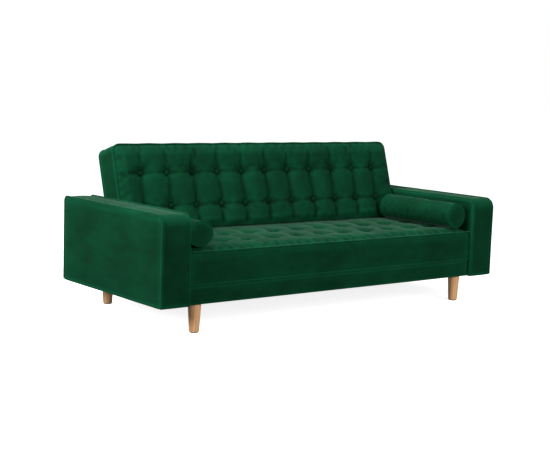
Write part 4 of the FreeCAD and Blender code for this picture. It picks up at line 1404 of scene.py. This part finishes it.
class Seat:
    """The tufted seat with its piping and buttons."""

    def __init__(self, shop: Workshop, sizes: SeatSizes) -> None:
        """Args: shop: shared finishes and trees. sizes: the seat's sizes."""
        self.shop = shop
        self.sizes = sizes
        self.cover = SeatCover(sizes)

    def build(self) -> None:
        """Makes and dresses every piece of the seat."""
        velvet = self.shop.finish(Finish.VELVET)
        cover = self.cover.make()
        s = self.sizes
        boxes = []
        for sign in (-1, 1):
            lo, hi = sorted((sign * HINGE_FROM, sign * HINGE_TO))
            boxes.append((Vector((lo, 0.093, 0.19)), Vector((hi, 0.1535, 0.373))))
            boxes.append((Vector((lo, 0.153, 0.18)), Vector((hi, 0.26, 0.45))))
        cut_away(cover, boxes)
        dress(cover, "seat", "velvet", velvet, "seat_cushion", "seat_front_border", "seat_side_borders")
        p = self.cover.path
        notch_b = 0.88
        self.shop.pipe("seat_top_piping", "seat", [
            p((0, notch_b, 1), (0, 0, 1), (1, 0, 1), (1, notch_b, 1), steps=160) + (0, -2.0 * MM, 1.6 * MM)
        ], 4.8 * MM)
        self.shop.pipe("seat_lower_piping", "seat", [
            p((0, 0, 0), (1, 0, 0), steps=200) + (0, -2.2 * MM, 3.6 * MM)
        ], 4.6 * MM)
        self.shop.pipe("seat_end_piping", "seat", [
            p((end, 0, 0.03), (end, 0, 0.98), steps=24) + (0, -1.0 * MM, 0) for end in (0, 1)
        ])
        places = s.tufting.buttons()
        centres = np.stack([
            places[:, 0], places[:, 1],
            np.full(len(places), s.crown - s.tufting.depth + 2.2 * MM),
        ], axis=1)
        buttons = self.shop.buttons.use(
            "seat_button_set", centres, [], facing=np.tile((0, 0, 1.0), (len(places), 1)),
            Button=self.shop.button, Seed=3, Material=self.shop.finish(Finish.BUTTON),
        )
        dress(buttons, "seat", "button_velvet", self.shop.finish(Finish.BUTTON), "seat_buttons")
        LOG.info("seat: cover, three runs of piping and %d buttons", len(places))


class Back:
    """The reclining back with its piping, buttons and rear panel."""

    def __init__(self, shop: Workshop, sizes: BackSizes) -> None:
        """Args: shop: shared finishes and trees. sizes: the back's sizes."""
        self.shop = shop
        self.sizes = sizes
        self.cover = BackCover(sizes)

    def _notch(self, obj: bpy.types.Object) -> None:
        """Cuts the hinge's room out of both lower corners."""
        s = self.sizes
        boxes = []
        for sign in (-1, 1):
            lo, hi = sorted((sign * HINGE_FROM, sign * HINGE_TO))
            # The lip hangs lower than this box, so a strip of it still meets the hinge bracket lying flat.
            boxes.append((Vector((lo, 0.030, -0.13)), Vector((hi, 0.102, 0.0))))
        lean = Matrix.Rotation(math.radians(s.upright), 4, "X")
        turn = Matrix.Translation((0, s.pivot_y, s.pivot_z)) @ lean
        obj.data.transform(turn.inverted())
        cut_away(obj, boxes)
        obj.data.transform(turn)

    def build(self) -> None:
        """Makes and dresses every piece of the back."""
        s = self.sizes
        velvet = self.shop.finish(Finish.VELVET)
        cover = self.cover.make()
        self._notch(cover)
        dress(cover, "back", "velvet", velvet, "back_cushion")
        panel = SlabCover(
            "back_rear_upholstery", (-0.890, 0.046, -0.1138), (0.890, 0.466, -0.1110), (120, 30, 1),
            -0.3 * MM, s.stand, s.corner - 4 * MM,
        )
        dress(panel.make(), "back", "velvet", velvet, "back_rear_panel")
        edge = [(0.012, 0.05, 0), (0.012, 0.95, 0), (0.988, 0.95, 0), (0.988, 0.05, 0)]
        self.shop.sew("back_rear_stitches", "back", [panel.path(*edge, steps=120)])
        p = self.cover.path
        rim = [(0, 0.02, 1), (0, 1, 1), (1, 1, 1), (1, 0.02, 1)]
        front = p(*rim, steps=160) * (1 - 3.4 * MM / s.half, 1, 1)
        self.shop.pipe("back_front_piping", "back", [front], 4.6 * MM)
        rear = [(0, 0.16, 0), (0, 1, 0), (1, 1, 0), (1, 0.16, 0)]
        self.shop.pipe("back_rear_piping", "back", [p(*rear, steps=160)])
        places = s.tufting.buttons()
        flat = np.stack([
            places[:, 0], places[:, 1],
            np.full(len(places), s.crown - s.tufting.depth + 2.2 * MM),
        ], axis=1)
        out = s.stand(np.array([[0, 0, 1.0]])) - s.stand(np.array([[0, 0, 0.0]]))
        buttons = self.shop.buttons.use(
            "back_button_set", s.stand(flat), [], facing=np.tile(out[0], (len(places), 1)),
            Button=self.shop.button, Seed=4, Material=self.shop.finish(Finish.BUTTON),
        )
        dress(buttons, "back", "button_velvet", self.shop.finish(Finish.BUTTON), "back_buttons")
        LOG.info("back: cover, rear panel, two runs of piping and %d buttons", len(places))


class Arm:
    """One upholstered arm with piped panels."""

    def __init__(self, shop: Workshop, side: int, sizes: ArmSizes) -> None:
        """Args: shop: shared finishes and trees. side: -1 left, 1 right. sizes: the arm's sizes."""
        self.shop = shop
        self.side = side
        self.sizes = sizes
        self.word = "left" if side < 0 else "right"

    def build(self) -> None:
        """Makes and dresses the arm's cover and piping."""
        arm = ArmCover(self.side, self.sizes)
        cover = arm.make()
        dress(cover, "base", "velvet", self.shop.finish(Finish.VELVET), f"{self.word}_arm_cover")
        radius = 4.8 * MM
        s = self.sizes
        middle = np.array((0, (s.front + s.rear) / 2, (s.bottom + s.top) / 2))
        reach = np.array((1, (s.rear - s.front) / 2, (s.top - s.bottom) / 2))
        paths = []
        for a, inset in ((0.0, 1), (1.0, -1)):
            loop = arm.path((a, 0, 0.014), (a, 0, 1), (a, 1, 1), (a, 1, 0.014), steps=110)
            faces_seat = (a == 0.0) == (self.side > 0)
            share = (loop - middle) / reach
            outward = np.where(np.abs(share) > 0.97, np.sign(share), 0.0) * (0, 1, 1)
            loop = loop + outward * 2.0 * MM
            loop[:, 0] += inset * (radius + 0.8 * MM if faces_seat else 0.8 * MM)
            paths.append(loop)
        self.shop.pipe(f"{self.word}_arm_piping", "base", paths, radius)
        hem = [arm.path((a, 0.01, 0.022), (a, 0.99, 0.022), steps=80) for a in (0.0, 1.0)]
        self.shop.sew(f"{self.word}_arm_hem_stitches", "base", hem)
        LOG.info("%s arm: cover and piping", self.word)


class Bolster:
    """One loose round bolster."""

    def __init__(self, shop: Workshop, side: int, roll: Roll) -> None:
        """Args: shop: shared finishes and trees. side: -1 left, 1 right. roll: its sizes."""
        self.shop = shop
        self.side = side
        self.roll = roll
        self.word = "left" if side < 0 else "right"

    def build(self) -> None:
        """Makes and dresses the bolster."""
        roll = RollCover(self.side, self.roll)
        cover = roll.make()
        body = f"{self.word}_roll"
        dress(cover, body, "velvet", self.shop.finish(Finish.VELVET), f"{self.word}_bolster")
        self.shop.pipe(f"{self.word}_bolster_piping", body, roll.rings(), 3.4 * MM)
        LOG.info("%s bolster: cover and end piping", self.word)


class Base:
    """The base's covers and the four legs."""

    def __init__(self, shop: Workshop) -> None:
        """Args: shop: shared finishes and trees."""
        self.shop = shop

    def _cover(self, word: str, y0: float, y1: float, bow: float) -> None:
        """One long padded cover along the base."""
        cover = SlabCover(
            f"base_{word}_upholstery", (-0.895, y0, 0.1325), (0.895, y1, 0.2135), (150, 1, 8), bow
        )
        piece = dress(cover.make(), "base", "velvet", self.shop.finish(Finish.VELVET), f"base_{word}_cover")
        face = 1.0 if bow > 0 else 0.0
        hem = cover.path((0.002, face, 0.11), (0.998, face, 0.11), steps=160)
        self.shop.sew(f"base_{word}_hem_stitches", "base", [hem])

    def _leg(self, node: str) -> None:
        """One tapered beech leg with softened ends."""
        low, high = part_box(node)
        centre = (low + high) / 2
        z0, z1 = low.z, high.z
        profile = [
            (0.0217, z0), (0.0227, z0 + 0.0004), (0.0230, z0 + 0.0014), (0.0236, z0 + 0.012),
            (0.0268, (z0 + z1) / 2), (0.0304, z1 - 0.008), (0.0308, z1 - 0.0022), (0.0302, z1 - 0.0006),
            (0.0290, z1),
        ]
        obj = revolve(f"{node}_turned", profile, 64)
        obj.data.transform(Matrix.Translation((centre.x, centre.y, 0)))
        dress(obj, "base", "leg_wood", self.shop.finish(Finish.LEG), node)

    def build(self) -> None:
        """Makes and dresses the base's covers and legs."""
        self._cover("front", -0.4200, -0.4145, -2.0 * MM)
        self._cover("rear", 0.4145, 0.4200, 2.0 * MM)
        for node in ("front_left_leg", "front_right_leg", "rear_left_leg", "rear_right_leg"):
            self._leg(node)
        LOG.info("base: two covers and four legs")


class Hardware:
    """The frame, springs, hinges and fasteners that keep their engineered shapes."""

    BY_SLOT = {
        "board": Finish.PLYWOOD, "lining": Finish.LINING, "webbing": Finish.WEBBING,
        "spring_steel": Finish.SPRING, "hinge_steel": Finish.BLACK_STEEL, "fastener": Finish.ZINC,
        "rubber": Finish.RUBBER, "glide": Finish.NYLON,
    }
    DEEP = ("left_rail", "right_rail", "joists", "cross_rails")
    TALL = ("posts", "stile", "stiles")

    def __init__(self, shop: Workshop) -> None:
        """Args: shop: shared finishes and trees."""
        self.shop = shop

    def _finish(self, node: str, slot: str) -> Finish | None:
        """The finish that a node takes, by its slot and the way its grain runs."""
        if slot != "frame_wood":
            return self.BY_SLOT.get(slot)
        if node.endswith(self.DEEP):
            return Finish.PINE_DEEP
        return Finish.PINE_TALL if node.endswith(self.TALL) else Finish.PINE_ACROSS

    def build(self, slots: dict[str, str]) -> None:
        """Args: slots: each node's material slot."""
        dressed = 0
        for node, obj in frame["nodes"].items():
            finish = self._finish(node, slots.get(node, ""))
            if finish is None or obj.hide_render:
                continue
            material = self.shop.finish(finish)
            for index in range(max(1, len(obj.data.materials))):
                if index < len(obj.data.materials):
                    obj.data.materials[index] = material
                else:
                    obj.data.materials.append(material)
            dressed += 1
        LOG.info("hardware: %d pieces finished", dressed)


# ---------------------------------------------------------------- the studio


@dataclass(frozen=True)
class CameraPlace:
    """Where the camera stands: metres, degrees and millimetres."""

    place: tuple = (-3.7933, -4.7113, 1.1400)
    yaw: float = 38.177
    pitch: float = 6.997
    roll: float = 1.959
    lens: float = 77.54


class Studio:
    """A white sweep, soft light from above and a camera."""

    def __init__(self, camera: CameraPlace) -> None:
        """Args: camera: where the camera stands."""
        self.camera = camera

    def _floor(self) -> None:
        """A pale matt floor, well past the edges of the view."""
        shader = Shader("studio_floor")
        dust = shader.noise(3.0, 3.0, 0.5)
        material = shader.surface(
            Base_Color=shader.mix(dust, (0.80, 0.80, 0.80, 1), (0.84, 0.84, 0.84, 1)), Roughness=0.9,
            Emission_Color=(1, 1, 1, 1), Emission_Strength=0.85,
        )
        side = 40.0
        floor = new_object(
            "studio_floor",
            np.array([(-side, -side, 0), (side, -side, 0), (side, side, 0), (-side, side, 0)], float),
            [(0, 1, 2, 3)],
        )
        floor.data.materials.append(material)
        floor.visible_diffuse = False
        floor.visible_glossy = False

    @staticmethod
    def _lamp(name: str, place: Sequence[float], aim: Sequence[float], size: tuple, power: float) -> None:
        """One soft rectangular lamp."""
        data = bpy.data.lights.new(name, "AREA")
        data.shape = "RECTANGLE"
        data.size, data.size_y = size
        data.energy = power
        lamp = bpy.data.objects.new(name, data)
        lamp.location = place
        lamp.rotation_euler = (Vector(aim) - Vector(place)).to_track_quat("-Z", "Y").to_euler()
        bpy.context.scene.collection.objects.link(lamp)

    def _world(self) -> None:
        """An even white surround."""
        world = bpy.data.worlds.new("studio")
        bpy.context.scene.world = world
        world.use_nodes = True
        nodes, links = world.node_tree.nodes, world.node_tree.links
        sky = nodes["Background"]
        sky.inputs["Color"].default_value = (1, 1, 1, 1)
        seen = nodes.new("ShaderNodeLightPath").outputs["Is Camera Ray"]
        level = nodes.new("ShaderNodeMapRange")
        level.inputs["To Min"].default_value = AMBIENT
        level.inputs["To Max"].default_value = 1.0
        links.new(seen, level.inputs["Value"])
        links.new(level.outputs[0], sky.inputs["Strength"])

    def _camera(self) -> None:
        """The camera, turned by its yaw, pitch and roll."""
        c = self.camera
        yaw, pitch, roll = (math.radians(v) for v in (c.yaw, c.pitch, c.roll))
        ahead = Vector((math.sin(yaw) * math.cos(pitch), math.cos(yaw) * math.cos(pitch), -math.sin(pitch)))
        right = Vector((math.cos(yaw), -math.sin(yaw), 0.0))
        up = right.cross(ahead)
        right_2 = right * math.cos(roll) + up * math.sin(roll)
        up_2 = up * math.cos(roll) - right * math.sin(roll)
        data = bpy.data.cameras.new("camera")
        data.sensor_width = 36.0
        data.lens = c.lens
        data.clip_start, data.clip_end = 0.1, 200.0
        camera = bpy.data.objects.new("camera", data)
        turned = Matrix((right_2, up_2, -ahead)).transposed().to_4x4()
        camera.matrix_world = Matrix.Translation(c.place) @ turned
        bpy.context.scene.collection.objects.link(camera)
        bpy.context.scene.camera = camera

    def build(self) -> None:
        """Sets the floor, world, lamps, camera and view."""
        self._floor()
        self._world()
        self._lamp("overhead", (-0.3, 0.4, 3.6), (0.0, 0.1, 0.3), (4.5, 2.6), 132.0)
        self._lamp("left", (-4.4, -0.2, 2.2), (0.0, 0.0, 0.4), (1.8, 2.0), 260.0)
        self._lamp("front", (0.6, -4.6, 2.2), (0.0, 0.0, 0.4), (3.4, 2.0), 168.0)
        self._camera()
        bpy.context.scene.view_settings.view_transform = "Standard"
        bpy.context.scene.view_settings.gamma = VIEW_GAMMA
        LOG.info("studio: floor, world, lamps and camera")


def node_slots() -> dict[str, str]:
    """Returns: the material slot of each node of the frame."""
    return {row["node"]: row["material_slot"] for row in frame["record"]["subparts"]}


def main() -> None:
    """Builds and dresses the sofa bed, piece by piece, then sets the studio round it."""
    logging.basicConfig(level=logging.INFO, format="%(name)s: %(message)s")
    shop = Workshop()
    Seat(shop, SeatSizes()).build()
    Back(shop, BackSizes()).build()
    for side in (-1, 1):
        Arm(shop, side, ArmSizes()).build()
        Bolster(shop, side, Roll(x=BOLSTER_PLACES[side], slump=BOLSTER_SLUMP[side])).build()
    Base(shop).build()
    Hardware(shop).build(node_slots())
    Studio(CameraPlace()).build()


if __name__ == "__main__":
    main()
